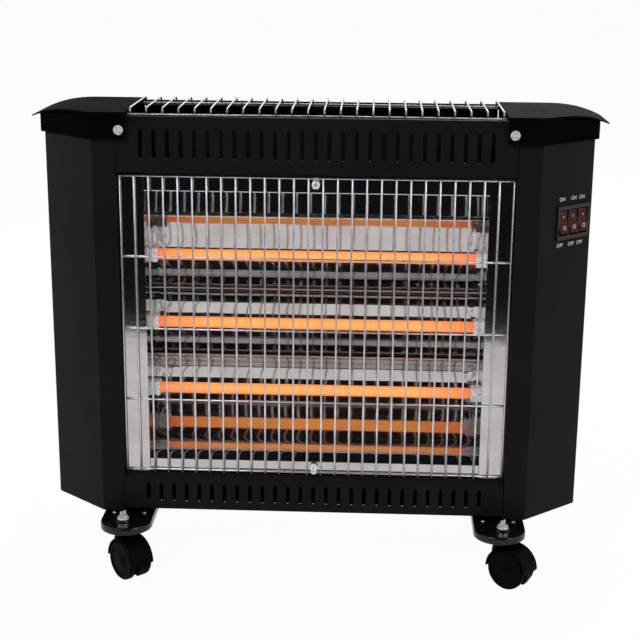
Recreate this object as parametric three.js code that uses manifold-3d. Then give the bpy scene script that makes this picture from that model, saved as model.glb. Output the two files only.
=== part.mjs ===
// Free-standing quartz heater: three glowing tubes in a polished reflector, a sheet metal body
// with chamfered side housings, a welded wire guard and four twin-wheel casters.
// Millimetres, +Z up. The front faces -Y and the floor is z = 0.

import * as THREE from 'three';
import { mergeVertices } from 'three/addons/utils/BufferGeometryUtils.js';
import Module from 'manifold-3d';

const wasm = await Module();
wasm.setup();

// ---------- driving dimensions ----------

// Fits
const gap = 0.3; // seat clearance between separate pieces
const running = 0.7; // clearance round what turns

// Body plan, with y = 0 on its flat front
const bodyDepth = 125; // flat front to rear flanges
const fasciaWidth = 422; // window and slotted fascias, between the side housings
const frontStrip = 24.8; // flat border of each side housing
const chamferWidth = 61.3; // slanted face, measured along X
const chamferDepth = 53.8; // slanted face, measured along Y
const rearFlange = 32; // each housing's fold along the back
const sheetThickness = 1; // painted body sheet
const bendRadius = 3; // outside radius of the housing bends

// Body heights, stacked upwards from the housings' lower edges
const fasciaLift = 3.6; // lower edge of the lower fascia above the housings'
const lowerFasciaHeight = 35; // up to the front edge of its sloped lip
const windowHeight = 346;
const upperFasciaHeight = 59;
const housingDrop = 8; // the housings stop this far below the fascia's top, under the caps

// Fascias
const lipDepth = 9;
const lipRise = 5.5;
const fasciaReturn = 13.4; // how far the folded edges go back
const topFold = 11; // fold that carries the grille's front rail
const slotCount = 27;
const slotMargin = 26.4; // fascia end to the first slot's centre
const slotWidth = 4.2;
const upperSlotHeight = 31;
const lowerSlotHeight = 20.5;
const upperSlotDrop = 28.8; // slot centres below the upper fascia's top
const lowerSlotLift = 19.8; // slot centres above the lower fascia's bottom

// Front guard, welded from round wire
const guardWire = 2;
const guardGaps = 27;
const guardMargin = 1.75; // window side to the last upright's centre
const guardSetback = 7; // front plane of the body to the upright wires' centres
const guardTopInset = 5; // window top to the highest cross wire
const guardLift = 3.4; // lip to the lowest cross wire
const guardRows = 5;
const wireTail = 2.6; // upright wires run this far past the lowest cross wire
const weldSink = 0.3; // how deep crossing wires melt into each other
const clipOffset = 6.5; // clip screws, in from the highest and lowest cross wires
const clipShank = 3.2;
const clipHead = 9.2;
const clipStrap = 1;

// Top grille
const grilleRail = 2.5;
const grilleWire = 2;
const hoopCount = 24;
const hoopMargin = 3.49; // rail end to the first hoop
const hoopRise = 7;
const hoopBend = 4.5;
const frontRailSetback = 4;
const rearRailSetback = 15; // in from the housings' rear
const shelfDepth = 19; // fold of the back panel that carries the rear rail

// Top caps, moulded
const capLap = 11.7; // each cap reaches this far over the end of the fascia
const capClearance = 1; // between a cap and what runs up to its inner end
const skirtProud = 4.2; // skirt stands this far off the housing
const skirtHeight = 24; // below the fascia's top
const lidRise = 6; // crown above the fascia's top
const lidDrop = 16; // crown to outer tip
const lidFlat = 15.9; // the lid starts to fall this far outside the front crease
const lidWing = 18.6; // overhang past the housing's side
const lidOverhang = 2.3; // past the skirt, front and rear
const lidCorner = 12;
const lidInnerThickness = 4.8;
const lidTipThickness = 1.4;
const capScrewInset = 4.5; // in from the fascia's end
const capScrewDrop = 14; // below the fascia's top
const capScrewHead = 8.4;
const capScrewShank = 4;

// Reflector, tubes and coils
const reflectorSheet = 0.8;
const reflectorFront = 12; // its flanges, behind the body's front
const sideMargin = 27.3; // window side to the reflector's end
const topFlange = 22;
const bottomFlange = 13.5;
const tubePitch = 76.4;
const tubeLift = 2.3; // middle tube above the window's middle
const tubeSetback = 30;
const cuspSetback = 40;
const troughDepth = 18;
const tubeOuter = 12;
const tubeWall = 1.2;
const tubeInset = 4.7; // reflector end to tube end
const holderReach = 10.7; // holders start this far inside the reflector's ends
const holderLength = 17;
const holderWallDeep = 1.2; // ceramic in front of and behind the tube
const holderWallHigh = 1.7; // ceramic over and under the tube
const coilWire = 0.9;
const coilClearance = 0.8; // between the coil and the tube's bore
const coilInset = 13; // tube end to the first turn
const leadReach = 13; // lead wires run this far past the tubes

// Side trims beside the reflector
const trimSetback = 10;
const trimWallDepth = 62;
const trimInset = 1; // above the lip
const trimDrop = 3; // below the window's top
const trimThickness = 0.8;
const trimCorner = 9;

// Heat shield, base and back
const shieldSpace = 11.2; // behind the reflector's troughs
const shieldInset = 3.7; // in from the reflector's ends
const shieldFlange = 14;
const panThickness = 1.2;
const panLift = 2.8; // above the housings' lower edges
const panVents = 9;
const panVentPitch = 34;
const panVentLength = 20;
const panVentWidth = 5;
const panVentSetback = 52;
const backInset = 12.4; // back panel's edges, in from the housings' sides
const backRise = 3; // above the fascia's top
const backSlots = 13;
const backSlotPitch = 30;
const backSlotWidth = 5;
const backSlotHeight = 44;
const backSlotLift = 15; // lower row's centre above the window's bottom
const backSlotDrop = 9; // upper row's centre below the window's top
const glandInset = 49; // in from the back panel's edge
const glandLift = 7; // above the window's bottom
const glandHole = 7.6; // radius of its hole
const glandBore = 3.8; // radius of the way through it
const terminalLength = 46;
const terminalDepth = 22;
const terminalHeight = 15;
const terminalInset = 75; // its inner end, in from the housing's side
const terminalSetback = 70;

// Switch bank, on the right chamfer
const bankInset = 5.31; // in from the rear crease, along the chamfer
const bankDrop = 51.2; // centre below the window's top
const bankFlange = 1.9;
const bankLip = 1.8; // flange past the body
const bankWall = 0.6;
const bankEndWall = 2.38;
const bankRib = 1.5; // between two rockers
const bankDepth = 17;
const pocketDepth = 14;
const rockerWidth = 13.3;
const rockerHalf = 12.4;
const rockerFront = 3; // rocker's tips in front of its pivot at the panel face
const rockerDish = 1.6;
const rockerKeel = 9;
const rockerTilt = THREE.MathUtils.degToRad(10);
const rockerPivot = 2; // behind the panel face

// Feet, moulded, screwed under the body
const footInset = 4.5; // foot centres, in from the fascia's ends
const footWidth = 57;
const footReach = 51.5; // past the front, and past the rear
const footThickness = 8; // depth of the rim
const footWeb = 3;
const footRim = 2.6;
const footUnder = 38; // how far each foot runs under the body
const footBoss = 10.5; // radius round the swivel stem
const stemSetback = 23.3; // swivel axis, out from the body's front or rear
const stemOffset = 3.7; // swivel axis, outwards from the foot's middle
const stemDiameter = 8;
const stemRise = 4.5; // above the foot plate, inside its nut
const nutAcross = 13.2; // over its corners
const nutHeight = 4.2;
const nutCrown = 4.1; // dome above the hexagon

// Casters
const wheelRadius = 22;
const wheelInner = 4.2; // from the caster's middle to a wheel's inner face
const wheelOuter = 14;
const wheelEase = 3; // sloped inner edge of the tread
const wheelDish = 0.8;
const wheelRim = 4;
const wheelSides = 16;
const trail = 12.8; // swivel axis to axle
const axleDiameter = 4;
const axleCover = 3; // wheel face outside the axle's end
const hoodThickness = 1.7;
const hoodGap = 0.9;
const collarNeck = 8.369; // hood top to the top of its swivel collar
const collarRadius = 9.5;

// ---------- derived values ----------

const wheelFlat = Math.PI / wheelSides;
const wheelCorner = wheelRadius / Math.cos(wheelFlat); // so that a flat meets the floor
const hoodInner = wheelCorner + hoodGap;
const hoodOuter = hoodInner + hoodThickness;
const collarTop = wheelRadius + hoodOuter + collarNeck;
const footTop = collarTop + running + footThickness;
const stemTop = footTop + stemRise;
const housingBottom = footTop + gap;
const panBottom = housingBottom + panLift;
const panTop = panBottom + panThickness;
const lowerFasciaBottom = housingBottom + fasciaLift;
const windowBottom = lowerFasciaBottom + lowerFasciaHeight;
const windowTop = windowBottom + windowHeight;
const fasciaTop = windowTop + upperFasciaHeight;
const housingTop = fasciaTop - housingDrop;
const lipTop = windowBottom + lipRise;

const fasciaHalf = fasciaWidth / 2;
const creaseX = fasciaHalf + gap + frontStrip;
const sideX = creaseX + chamferWidth;
const chamferAngle = Math.atan2(chamferDepth, chamferWidth);
const chamferLength = Math.hypot(chamferDepth, chamferWidth);
const slotPitch = (fasciaWidth - 2 * slotMargin) / (slotCount - 1);

const guardTop = windowTop - guardTopInset;
const guardBottom = lipTop + guardLift;
const guardHalf = fasciaHalf - guardMargin;
const clipTopZ = guardTop - clipOffset;
const clipBottomZ = guardBottom + clipOffset;

const capInner = fasciaHalf - capLap;
const skirtBottom = fasciaTop - skirtHeight;
const lidCrown = fasciaTop + lidRise;
const lidBend = creaseX + lidFlat;
const lidTip = sideX + lidWing;
const capScrewX = fasciaHalf - capScrewInset;
const capScrewZ = fasciaTop - capScrewDrop;
const neckHalf = capInner - capClearance; // grille and back panel between the caps
const railHeight = fasciaTop + gap + grilleRail / 2;

const reflectorHalf = fasciaHalf - sideMargin;
const topRidge = windowTop - topFlange;
const bottomRidge = lipTop + bottomFlange;
const middleTubeZ = (windowBottom + windowTop) / 2 + tubeLift;
const tubeZ = [1, 0, -1].map((k) => middleTubeZ + k * tubePitch);
const tubeHalf = reflectorHalf - tubeInset;
const tubeBore = tubeOuter - 2 * tubeWall;
const holderInner = reflectorHalf - holderReach;
const holderDepth = tubeOuter + 2 * (gap + holderWallDeep);
const holderHeight = tubeOuter + 2 * (gap + holderWallHigh);
const coilRadius = tubeBore / 2 - coilClearance;
const coilHalf = tubeHalf - coilInset;
const leadEnd = tubeHalf + leadReach;
const trimBottom = lipTop + trimInset;
const trimTop = windowTop - trimDrop;
const shieldSetback = cuspSetback + troughDepth + reflectorSheet + shieldSpace;

const backPanelHalf = sideX - backInset;
const backPanelTop = fasciaTop + backRise;
const glandX = -backPanelHalf + glandInset;
const glandZ = windowBottom + glandLift;

const rockerPitch = rockerWidth + 2 * gap + bankRib;
const pocketReach = Math.hypot(rockerHalf, rockerPivot + rockerFront) + running;
const bankBodyHalfWide = rockerPitch + rockerWidth / 2 + gap + bankWall;
const bankBodyHalfHigh = pocketReach + bankEndWall;
const bankHalfWide = bankBodyHalfWide + bankLip;
const bankHalfHigh = bankBodyHalfHigh + bankLip;
const bankCentreS = chamferLength - bankInset - bankHalfWide; // along the chamfer from the front crease
const bankCentreZ = windowTop - bankDrop;
const pocketCentres = [-1, 0, 1].map((k) => bankCentreS + k * rockerPitch);

const footX = fasciaHalf - footInset;

// ---------- materials ----------

const finish = (color, roughness, metalness) => new THREE.MeshStandardMaterial({ color, roughness, metalness });
const blackPaint = finish(0x161614, 0.5, 0.2);
const blackPlastic = finish(0x0c0c0b, 0.45, 0);
const brightWire = finish(0xc9cbd2, 0.25, 1);
const mirrorSheet = finish(0xd8d8d6, 0.08, 1);
const glowingQuartz = finish(0xff9a4a, 0.3, 0);
const heaterWire = finish(0xffb060, 0.5, 0.6);
const ceramic = finish(0xe6dfd2, 0.7, 0);
const redPlastic = finish(0x4a1412, 0.35, 0);
const zincSteel = finish(0xb9bbbd, 0.3, 1);
const greySteel = finish(0x8d8f90, 0.5, 0.9);

// ---------- solid helpers ----------

function toSolid(geometry) {
  const bare = geometry.clone();
  bare.deleteAttribute('normal');
  bare.deleteAttribute('uv');
  const merged = mergeVertices(bare, 1e-4);
  const vertProperties = new Float32Array(merged.attributes.position.array);
  const triVerts = new Uint32Array(merged.index.array);
  return new wasm.Manifold(new wasm.Mesh({ numProp: 3, vertProperties, triVerts }));
}

function toGeometry(solid) {
  const mesh = solid.getMesh();
  const geometry = new THREE.BufferGeometry();
  geometry.setAttribute('position', new THREE.BufferAttribute(mesh.vertProperties, 3));
  geometry.setIndex(new THREE.BufferAttribute(mesh.triVerts, 1));
  geometry.computeVertexNormals();
  return geometry;
}

function join(...geometries) {
  return toGeometry(geometries.map(toSolid).reduce((a, b) => a.add(b)));
}

function cut(geometry, ...tools) {
  return toGeometry(tools.map(toSolid).reduce((a, b) => a.subtract(b), toSolid(geometry)));
}

function common(a, b) {
  return toGeometry(toSolid(a).intersect(toSolid(b)));
}

function box(x0, x1, y0, y1, z0, z1) {
  const geometry = new THREE.BoxGeometry(x1 - x0, y1 - y0, z1 - z0);
  return geometry.translate((x0 + x1) / 2, (y0 + y1) / 2, (z0 + z1) / 2);
}

function rod(radius, length, sides, axis) {
  const geometry = new THREE.CylinderGeometry(radius, radius, length, sides);
  if (axis === 'x') geometry.rotateZ(Math.PI / 2);
  if (axis === 'z') geometry.rotateX(Math.PI / 2);
  return geometry;
}

// Turned shape round Z, from [radius, height] pairs that start and end on the axis
function turned(pairs, sides) {
  const profile = pairs.map(([r, h]) => new THREE.Vector2(r, h));
  return new THREE.LatheGeometry(profile, sides).rotateX(Math.PI / 2);
}

// Evenly spaced places about zero
const spread = (count, pitch) => Array.from({ length: count }, (_, i) => (i - (count - 1) / 2) * pitch);

const points2 = (pairs) => pairs.map(([a, b]) => new THREE.Vector2(a, b));

// Plan outline (x, y) raised from z0 to z1
function raised(points, z0, z1) {
  const shape = new THREE.Shape(points);
  return new THREE.ExtrudeGeometry(shape, { depth: z1 - z0, bevelEnabled: false }).translate(0, 0, z0);
}

// Side profile (y, z) run along X from x0 to x1
function alongX(points, x0, x1) {
  const geometry = new THREE.ExtrudeGeometry(new THREE.Shape(points), { depth: x1 - x0, bevelEnabled: false });
  const basis = new THREE.Matrix4().makeBasis(
    new THREE.Vector3(0, 1, 0),
    new THREE.Vector3(0, 0, 1),
    new THREE.Vector3(1, 0, 0),
  );
  return geometry.applyMatrix4(basis).translate(x0, 0, 0);
}

// Front profile (x, z) run along Y from y0 to y1
function alongY(points, y0, y1) {
  const geometry = new THREE.ExtrudeGeometry(new THREE.Shape(points), { depth: y1 - y0, bevelEnabled: false });
  return geometry.rotateX(Math.PI / 2).translate(0, y1, 0);
}

// Band of sheet metal on the left of an open path of Vector2 points
function sheetBand(path, thickness) {
  const normals = path.slice(1).map((p, i) => {
    const d = p.clone().sub(path[i]).normalize();
    return new THREE.Vector2(-d.y, d.x);
  });
  const inner = path.map((p, i) => {
    const a = normals[Math.max(i - 1, 0)];
    const b = normals[Math.min(i, normals.length - 1)];
    const mitre = a.clone().add(b).divideScalar(1 + a.dot(b));
    return p.clone().addScaledVector(mitre, thickness);
  });
  return [...path, ...inner.reverse()];
}

// Open path with its inner corners rounded
function rounded(path, radius, steps = 3) {
  const out = [path[0]];
  for (let i = 1; i < path.length - 1; i += 1) {
    const a = path[i - 1].clone().sub(path[i]).normalize();
    const b = path[i + 1].clone().sub(path[i]).normalize();
    const half = Math.acos(THREE.MathUtils.clamp(a.dot(b), -1, 1)) / 2;
    const reach = radius / Math.tan(half);
    const start = path[i].clone().addScaledVector(a, reach);
    const end = path[i].clone().addScaledVector(b, reach);
    const curve = new THREE.QuadraticBezierCurve(start, path[i], end);
    out.push(...curve.getPoints(steps));
  }
  out.push(path[path.length - 1]);
  return out;
}

// Closed outline with every corner rounded
function roundedOutline(points, radius, steps) {
  const start = points[0].clone().add(points[points.length - 1]).multiplyScalar(0.5);
  return rounded([start, ...points, start], radius, steps).slice(0, -1);
}

// Closed anticlockwise outline moved outwards by a distance
function offsetOutline(points, distance) {
  const count = points.length;
  const normal = (i) => {
    const d = points[(i + 1) % count].clone().sub(points[i]).normalize();
    return new THREE.Vector2(d.y, -d.x);
  };
  return points.map((p, i) => {
    const a = normal((i + count - 1) % count);
    const b = normal(i);
    return p.clone().addScaledVector(a.clone().add(b).divideScalar(1 + a.dot(b)), distance);
  });
}

// Mirror image across the middle plane x = 0
function mirrored(geometry) {
  const copy = geometry.clone().scale(-1, 1, 1);
  if (!copy.index) {
    copy.setIndex([...Array(copy.attributes.position.count).keys()]);
  }
  const index = copy.index.array;
  for (let i = 0; i < index.length; i += 3) {
    [index[i], index[i + 1]] = [index[i + 1], index[i]];
  }
  return copy;
}

function piece(name, geometry, material) {
  const mesh = new THREE.Mesh(geometry, material);
  mesh.name = name;
  return mesh;
}

// ---------- body ----------

function housingPath() {
  return points2([
    [fasciaHalf + gap, fasciaReturn],
    [fasciaHalf + gap, 0],
    [creaseX, 0],
    [sideX, chamferDepth],
    [sideX, bodyDepth],
    [sideX - rearFlange, bodyDepth],
  ]);
}

function sideHousing() {
  const plan = sheetBand(rounded(housingPath(), bendRadius, 2), sheetThickness);
  return raised(plan, housingBottom, housingTop);
}

function switchCutOut() {
  const halfWide = bankBodyHalfWide + gap;
  const halfHigh = bankBodyHalfHigh + gap;
  const through = 4 * sheetThickness;
  const tool = box(-halfWide, halfWide, -through, through, -halfHigh, halfHigh);
  tool.translate(bankCentreS, 0, bankCentreZ).rotateZ(chamferAngle);
  return tool.translate(creaseX, 0, 0);
}

// Slot tool with clipped corners, through the front sheet
function slotTool(x, z, height) {
  const w = slotWidth / 2;
  const h = height / 2;
  const c = w * 0.6;
  const outline = points2([
    [x - w, z - h + c],
    [x - w + c, z - h],
    [x + w - c, z - h],
    [x + w, z - h + c],
    [x + w, z + h - c],
    [x + w - c, z + h],
    [x - w + c, z + h],
    [x - w, z + h - c],
  ]);
  return alongY(outline, -sheetThickness, 2 * sheetThickness);
}

function slotRow(z, height) {
  return spread(slotCount, slotPitch).map((x) => slotTool(x, z, height));
}

function upperFascia() {
  const path = points2([
    [fasciaReturn, windowTop],
    [0, windowTop],
    [0, fasciaTop],
    [topFold, fasciaTop],
  ]);
  const sheet = alongX(sheetBand(path.reverse(), sheetThickness), -fasciaHalf, fasciaHalf);
  const slots = slotRow(fasciaTop - upperSlotDrop, upperSlotHeight);
  const screwHoles = [-1, 1].map((side) =>
    rod(capScrewShank / 2 + gap, 8, 8, 'y').translate(side * capScrewX, 0, capScrewZ),
  );
  return cut(sheet, ...slots, ...screwHoles);
}

function lowerFascia() {
  const path = points2([
    [fasciaReturn + 1, lipTop],
    [lipDepth, lipTop],
    [0, windowBottom],
    [0, lowerFasciaBottom],
  ]);
  const sheet = alongX(sheetBand(path, sheetThickness), -fasciaHalf, fasciaHalf);
  const slots = slotRow(lowerFasciaBottom + lowerSlotLift, lowerSlotHeight);
  return cut(sheet, ...slots);
}

// Flat floor of the body: the plan of both housings less their sheet, notched round their front folds
function basePan() {
  const hull = points2([
    [-creaseX, 0],
    [creaseX, 0],
    [sideX, chamferDepth],
    [sideX, bodyDepth],
    [-sideX, bodyDepth],
    [-sideX, chamferDepth],
  ]);
  const plan = roundedOutline(offsetOutline(hull, -sheetThickness - gap), bendRadius, 2);
  const fold = fasciaHalf + gap;
  const reach = fold + sheetThickness + gap;
  const [under, over] = [panBottom - 1, panTop + 1];
  const notches = [
    box(fold - gap, reach, -1, fasciaReturn + gap, under, over),
    box(fold - gap, reach + bendRadius, -1, bendRadius, under, over),
  ].flatMap((notch) => [notch, mirrored(notch)]);
  const half = panVentLength / 2;
  const vents = spread(panVents, panVentPitch).map((x) =>
    box(x - half, x + half, panVentSetback, panVentSetback + panVentWidth, under, over),
  );
  return cut(raised(plan, panBottom, panTop), ...notches, ...vents);
}

// Rear sheet: a wide field, a narrower neck between the caps and a folded shelf for the grille
function backPanel() {
  const y0 = bodyDepth + gap;
  const neck = neckHalf;
  const shoulder = skirtBottom - 3 * capClearance;
  const outline = points2([
    [-backPanelHalf, lowerFasciaBottom],
    [backPanelHalf, lowerFasciaBottom],
    [backPanelHalf, shoulder],
    [neck, shoulder],
    [neck, backPanelTop],
    [-neck, backPanelTop],
    [-neck, shoulder],
    [-backPanelHalf, shoulder],
  ]);
  const field = alongY(outline, y0, y0 + sheetThickness);
  const weld = sheetThickness / 2;
  const shelf = box(-neck, neck, y0 - shelfDepth, y0 + weld, fasciaTop - sheetThickness, fasciaTop);
  const [w, h] = [backSlotWidth / 2, backSlotHeight / 2];
  const vents = [windowBottom + backSlotLift, windowTop - backSlotDrop].flatMap((z) =>
    spread(backSlots, backSlotPitch).map((x) => box(x - w, x + w, y0 - 1, y0 + 2, z - h, z + h)),
  );
  const way = rod(glandHole, 8, 12, 'y').translate(glandX, y0, glandZ);
  return cut(join(field, shelf), ...vents, way);
}

// Moulded gland: a neck through the back panel, a flange and a tapered nose round the cord's way
function cableGland() {
  const neck = glandHole - gap;
  const profile = [
    [glandBore, -9],
    [neck, -9],
    [neck, 0],
    [neck + 2.4, 0],
    [neck + 1.4, 4.5],
    [glandBore + 1.2, 7],
    [glandBore, 7],
    [glandBore, -9],
  ];
  const body = turned(profile, 10);
  return body.rotateX(-Math.PI / 2).translate(glandX, bodyDepth + 2 * gap + sheetThickness, glandZ);
}

// Ceramic block with bevelled shoulders and three wire channels
function terminalBlock() {
  const [depth, height] = [terminalDepth, terminalHeight];
  const outline = points2([
    [0, 0],
    [depth, 0],
    [depth, height * 0.6],
    [depth - 4, height],
    [4, height],
    [0, height * 0.6],
  ]);
  const channel = 3; // half width
  const channels = spread(3, terminalLength / 3).map((x) => {
    const middle = x + terminalLength / 2;
    return box(middle - channel, middle + channel, 5, depth - 5, height * 0.6, height + 1);
  });
  const body = cut(alongX(outline, 0, terminalLength), ...channels);
  return body.translate(sideX - terminalInset, terminalSetback, panTop + gap);
}

// ---------- caps ----------

function capPlan() {
  return points2([
    [capInner + skirtProud, 0],
    [creaseX, 0],
    [sideX, chamferDepth],
    [sideX, bodyDepth + 1],
    [capInner + skirtProud, bodyDepth + 1],
  ]);
}

const lidTopZ = (x) => lidCrown - lidDrop * Math.max(0, (x - lidBend) / (lidTip - lidBend)) ** 2.4;

function lidThickness(x) {
  const t = (x - capInner) / (lidTip - capInner);
  return lidInnerThickness + (lidTipThickness - lidInnerThickness) * t;
}

function archStations() {
  const steps = 9;
  const falling = Array.from({ length: steps }, (_, i) => lidBend + ((lidTip - lidBend) * (i + 1)) / steps);
  return [capInner - 1, (capInner + lidBend) / 2, lidBend, ...falling];
}

// Moulded cap: skirt round the housing's top edge and an arched lid that overhangs it
function topCap() {
  const plan = capPlan();
  const outer = offsetOutline(plan, skirtProud);
  const wall = skirtProud - gap;
  const inner = offsetOutline(outer, -wall);
  const stations = archStations();
  const top = stations.map((x) => [x, lidTopZ(x)]);
  const under = stations.map((x) => [x, lidTopZ(x) - lidThickness(x)]).reverse();
  const melt = lidTipThickness / 2; // the skirt runs up into the lid, but not through it
  const deep = skirtBottom - 5;
  const belowLid = [...top.map(([x, z]) => [x, z - melt]), [lidTip, deep], [capInner - 1, deep]];
  const skirt = cut(
    common(raised(outer, skirtBottom, lidCrown), alongY(points2(belowLid), -20, bodyDepth + 20)),
    raised(inner, deep, lidCrown + 5),
  );
  const lidPlan = lidOutline(outer);
  const arch = alongY(points2([...top, ...under]), -30, bodyDepth + 30);
  const lid = common(arch, raised(lidPlan, deep, lidCrown + 5));
  const fasciaRoom = box(capInner - 2, fasciaHalf + 4, -gap, bodyDepth + 1.6, deep, fasciaTop + 2 * gap);
  const screwHole = rod(capScrewShank / 2 + gap, 20, 8, 'y').translate(capScrewX, 0, capScrewZ);
  return cut(join(skirt, lid), fasciaRoom, screwHole);
}

// The lid follows the skirt with a small lip, and runs out to a wide rounded wing at the side
function lidOutline(outer) {
  const front = outer[0].y - lidOverhang;
  const rear = outer[4].y + lidOverhang;
  const wingFront = chamferDepth + 4;
  const front0 = new THREE.Vector2(capInner, front);
  const rear0 = new THREE.Vector2(capInner, rear);
  const wing = points2([
    [outer[1].x + 2, front],
    [lidTip, wingFront],
    [lidTip, rear],
  ]);
  return rounded([front0, ...wing, rear0], lidCorner, 3);
}

function capScrew() {
  const head = capScrewHead / 2;
  const shank = capScrewShank / 2;
  const profile = [[0, -13], [shank, -13], [shank, 0], [head, 0], [head, 1.2], [head * 0.7, 2.6], [0, 3.1]];
  return turned(profile, 8).rotateX(Math.PI / 2);
}

// ---------- wire work ----------

// Straight wire of six sides, with an edge towards the wires that cross it in front or behind
function straightWire(from, to, diameter) {
  const span = to.clone().sub(from);
  const geometry = new THREE.CylinderGeometry(diameter / 2, diameter / 2, span.length(), 6);
  if (Math.abs(span.x) > Math.abs(span.z)) geometry.rotateZ(Math.PI / 2);
  geometry.rotateX(Math.PI / 2);
  const middle = from.clone().add(to).multiplyScalar(0.5);
  return geometry.translate(middle.x, middle.y, middle.z);
}

function frontGuard() {
  const rowY = guardSetback + guardWire - weldSink;
  const uprights = spread(guardGaps + 1, (2 * guardHalf) / guardGaps).map((x) =>
    straightWire(
      new THREE.Vector3(x, guardSetback, guardBottom - wireTail),
      new THREE.Vector3(x, guardSetback, guardTop + guardWire / 2),
      guardWire,
    ),
  );
  const end = guardHalf + guardWire / 2;
  const rows = Array.from({ length: guardRows }, (_, i) => {
    const z = guardBottom + ((guardTop - guardBottom) * i) / (guardRows - 1);
    return straightWire(new THREE.Vector3(-end, rowY, z), new THREE.Vector3(end, rowY, z), guardWire);
  });
  return join(...uprights, ...rows);
}

// Bent wire that rises from the front rail, runs back and drops to the rear rail
function hoop(x) {
  const low = railHeight;
  const high = railHeight + hoopRise;
  const y0 = frontRailSetback;
  const y1 = bodyDepth - rearRailSetback;
  const route = rounded(points2([[y0, low], [y0, high], [y1, high], [y1, low]]), hoopBend, 1);
  return sweptWire(route.map((p) => new THREE.Vector3(x, p.x, p.y)), grilleWire / 2);
}

// Wire of five sides swept through points that lie in one plane of constant x
function sweptWire(path, radius) {
  const sides = 5;
  const side = new THREE.Vector3(1, 0, 0);
  const positions = [];
  path.forEach((p, i) => {
    const before = path[Math.max(i - 1, 0)];
    const after = path[Math.min(i + 1, path.length - 1)];
    const into = p.clone().sub(before).normalize();
    const out = after.clone().sub(p).normalize();
    const tangent = into.clone().add(out).normalize();
    const stretch = i === 0 || i === path.length - 1 ? 1 : 1 / tangent.dot(out);
    const across = new THREE.Vector3().crossVectors(tangent, side);
    for (let k = 0; k < sides; k += 1) {
      const a = (2 * Math.PI * k) / sides;
      const v = p.clone().addScaledVector(side, radius * Math.cos(a));
      v.addScaledVector(across, radius * stretch * Math.sin(a));
      positions.push(v.x, v.y, v.z);
    }
  });
  return closedTube(positions, path.length, sides);
}

// Skins rings of points into a tube with flat ends
function closedTube(positions, rings, sides) {
  const index = [];
  for (let i = 0; i < rings - 1; i += 1) {
    for (let k = 0; k < sides; k += 1) {
      const a = i * sides + k;
      const b = i * sides + ((k + 1) % sides);
      index.push(a, b, a + sides, b, b + sides, a + sides);
    }
  }
  const last = (rings - 1) * sides;
  for (let k = 1; k < sides - 1; k += 1) {
    index.push(0, k + 1, k);
    index.push(last, last + k, last + k + 1);
  }
  const geometry = new THREE.BufferGeometry();
  geometry.setAttribute('position', new THREE.Float32BufferAttribute(positions, 3));
  geometry.setIndex(index);
  return geometry;
}

function topGrille() {
  const half = neckHalf;
  const rail = (y) =>
    straightWire(new THREE.Vector3(-half, y, railHeight), new THREE.Vector3(half, y, railHeight), grilleRail);
  const hoops = spread(hoopCount, (2 * (half - hoopMargin)) / (hoopCount - 1)).map(hoop);
  return join(rail(frontRailSetback), rail(bodyDepth - rearRailSetback), ...hoops);
}

// Screw with a flat strap that holds the guard's end wire
function guardClip(wireDirection) {
  const r = clipHead / 2;
  const head = turned([[0, 0], [r, 0], [r - 0.4, 1.6], [r / 2, 2.6], [0, 2.8]], 8).rotateX(Math.PI / 2);
  const [short, long] = [r + 0.4, clipOffset + 2 * guardWire];
  const [z0, z1] = wireDirection > 0 ? [-short, long] : [-long, short];
  const strap = box(-3, 3, 0, clipStrap, z0, z1);
  const shank = rod(clipShank / 2, 10, 6, 'y').translate(0, 5.5, 0);
  return join(head.translate(0, 0.2, 0), strap, shank);
}

// ---------- reflector and heating elements ----------

// Points of a concave trough between two front cusps
function troughArc(z0, z1, steps) {
  const half = (z0 - z1) / 2;
  const radius = (half * half + troughDepth * troughDepth) / (2 * troughDepth);
  const reach = Math.asin(half / radius);
  const centre = cuspSetback + troughDepth - radius;
  return Array.from({ length: steps - 1 }, (_, i) => {
    const a = reach - (2 * reach * (i + 1)) / steps;
    return [centre + radius * Math.cos(a), (z0 + z1) / 2 + radius * Math.sin(a)];
  });
}

// Quarter sweep from the lowest cusp forward to the bottom flange
function lowerSweep(cuspZ, steps) {
  const curve = new THREE.QuadraticBezierCurve(
    new THREE.Vector2(cuspSetback, cuspZ),
    new THREE.Vector2(cuspSetback - 2, bottomRidge + 3),
    new THREE.Vector2(reflectorFront, bottomRidge),
  );
  return curve.getPoints(steps).map((p) => [p.x, p.y]);
}

function reflectorPath() {
  const cusps = [1.5, 0.5, -0.5, -1.5].map((k) => middleTubeZ + k * tubePitch);
  const path = [
    [reflectorFront, windowTop - gap],
    [reflectorFront, topRidge],
  ];
  for (let i = 0; i < 3; i += 1) {
    path.push([cuspSetback, cusps[i]], ...troughArc(cusps[i], cusps[i + 1], 10));
  }
  path.push(...lowerSweep(cusps[3], 8), [reflectorFront, lipTop + gap]);
  return points2(path);
}

function reflector() {
  const band = sheetBand(reflectorPath(), reflectorSheet);
  const sheet = alongX(band, -reflectorHalf, reflectorHalf);
  const holes = [clipTopZ, clipBottomZ].map((z) =>
    rod(clipShank / 2 + gap, 12, 8, 'y').translate(0, reflectorFront, z),
  );
  return cut(sheet, ...holes);
}

function sideTrim() {
  const inner = reflectorHalf + gap;
  const outer = fasciaHalf;
  const plan = points2([
    [inner, trimWallDepth],
    [inner, trimSetback],
    [outer, trimSetback],
  ]);
  const sheet = raised(sheetBand(plan, trimThickness), trimBottom, trimTop);
  const windows = tubeZ.map((z) =>
    box(
      inner - 2,
      inner + 3,
      tubeSetback - holderDepth / 2 - gap,
      tubeSetback + holderDepth / 2 + gap,
      z - holderHeight / 2 - gap,
      z + holderHeight / 2 + gap,
    ),
  );
  const c = trimCorner;
  const corner = rod(c, 6, 12, 'y').translate(outer - c, trimSetback, trimBottom + c);
  const square = box(outer - c, outer + 1, trimSetback - 1, trimSetback + 2, trimBottom - 1, trimBottom + c);
  return cut(sheet, ...windows, cut(square, corner));
}

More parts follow.
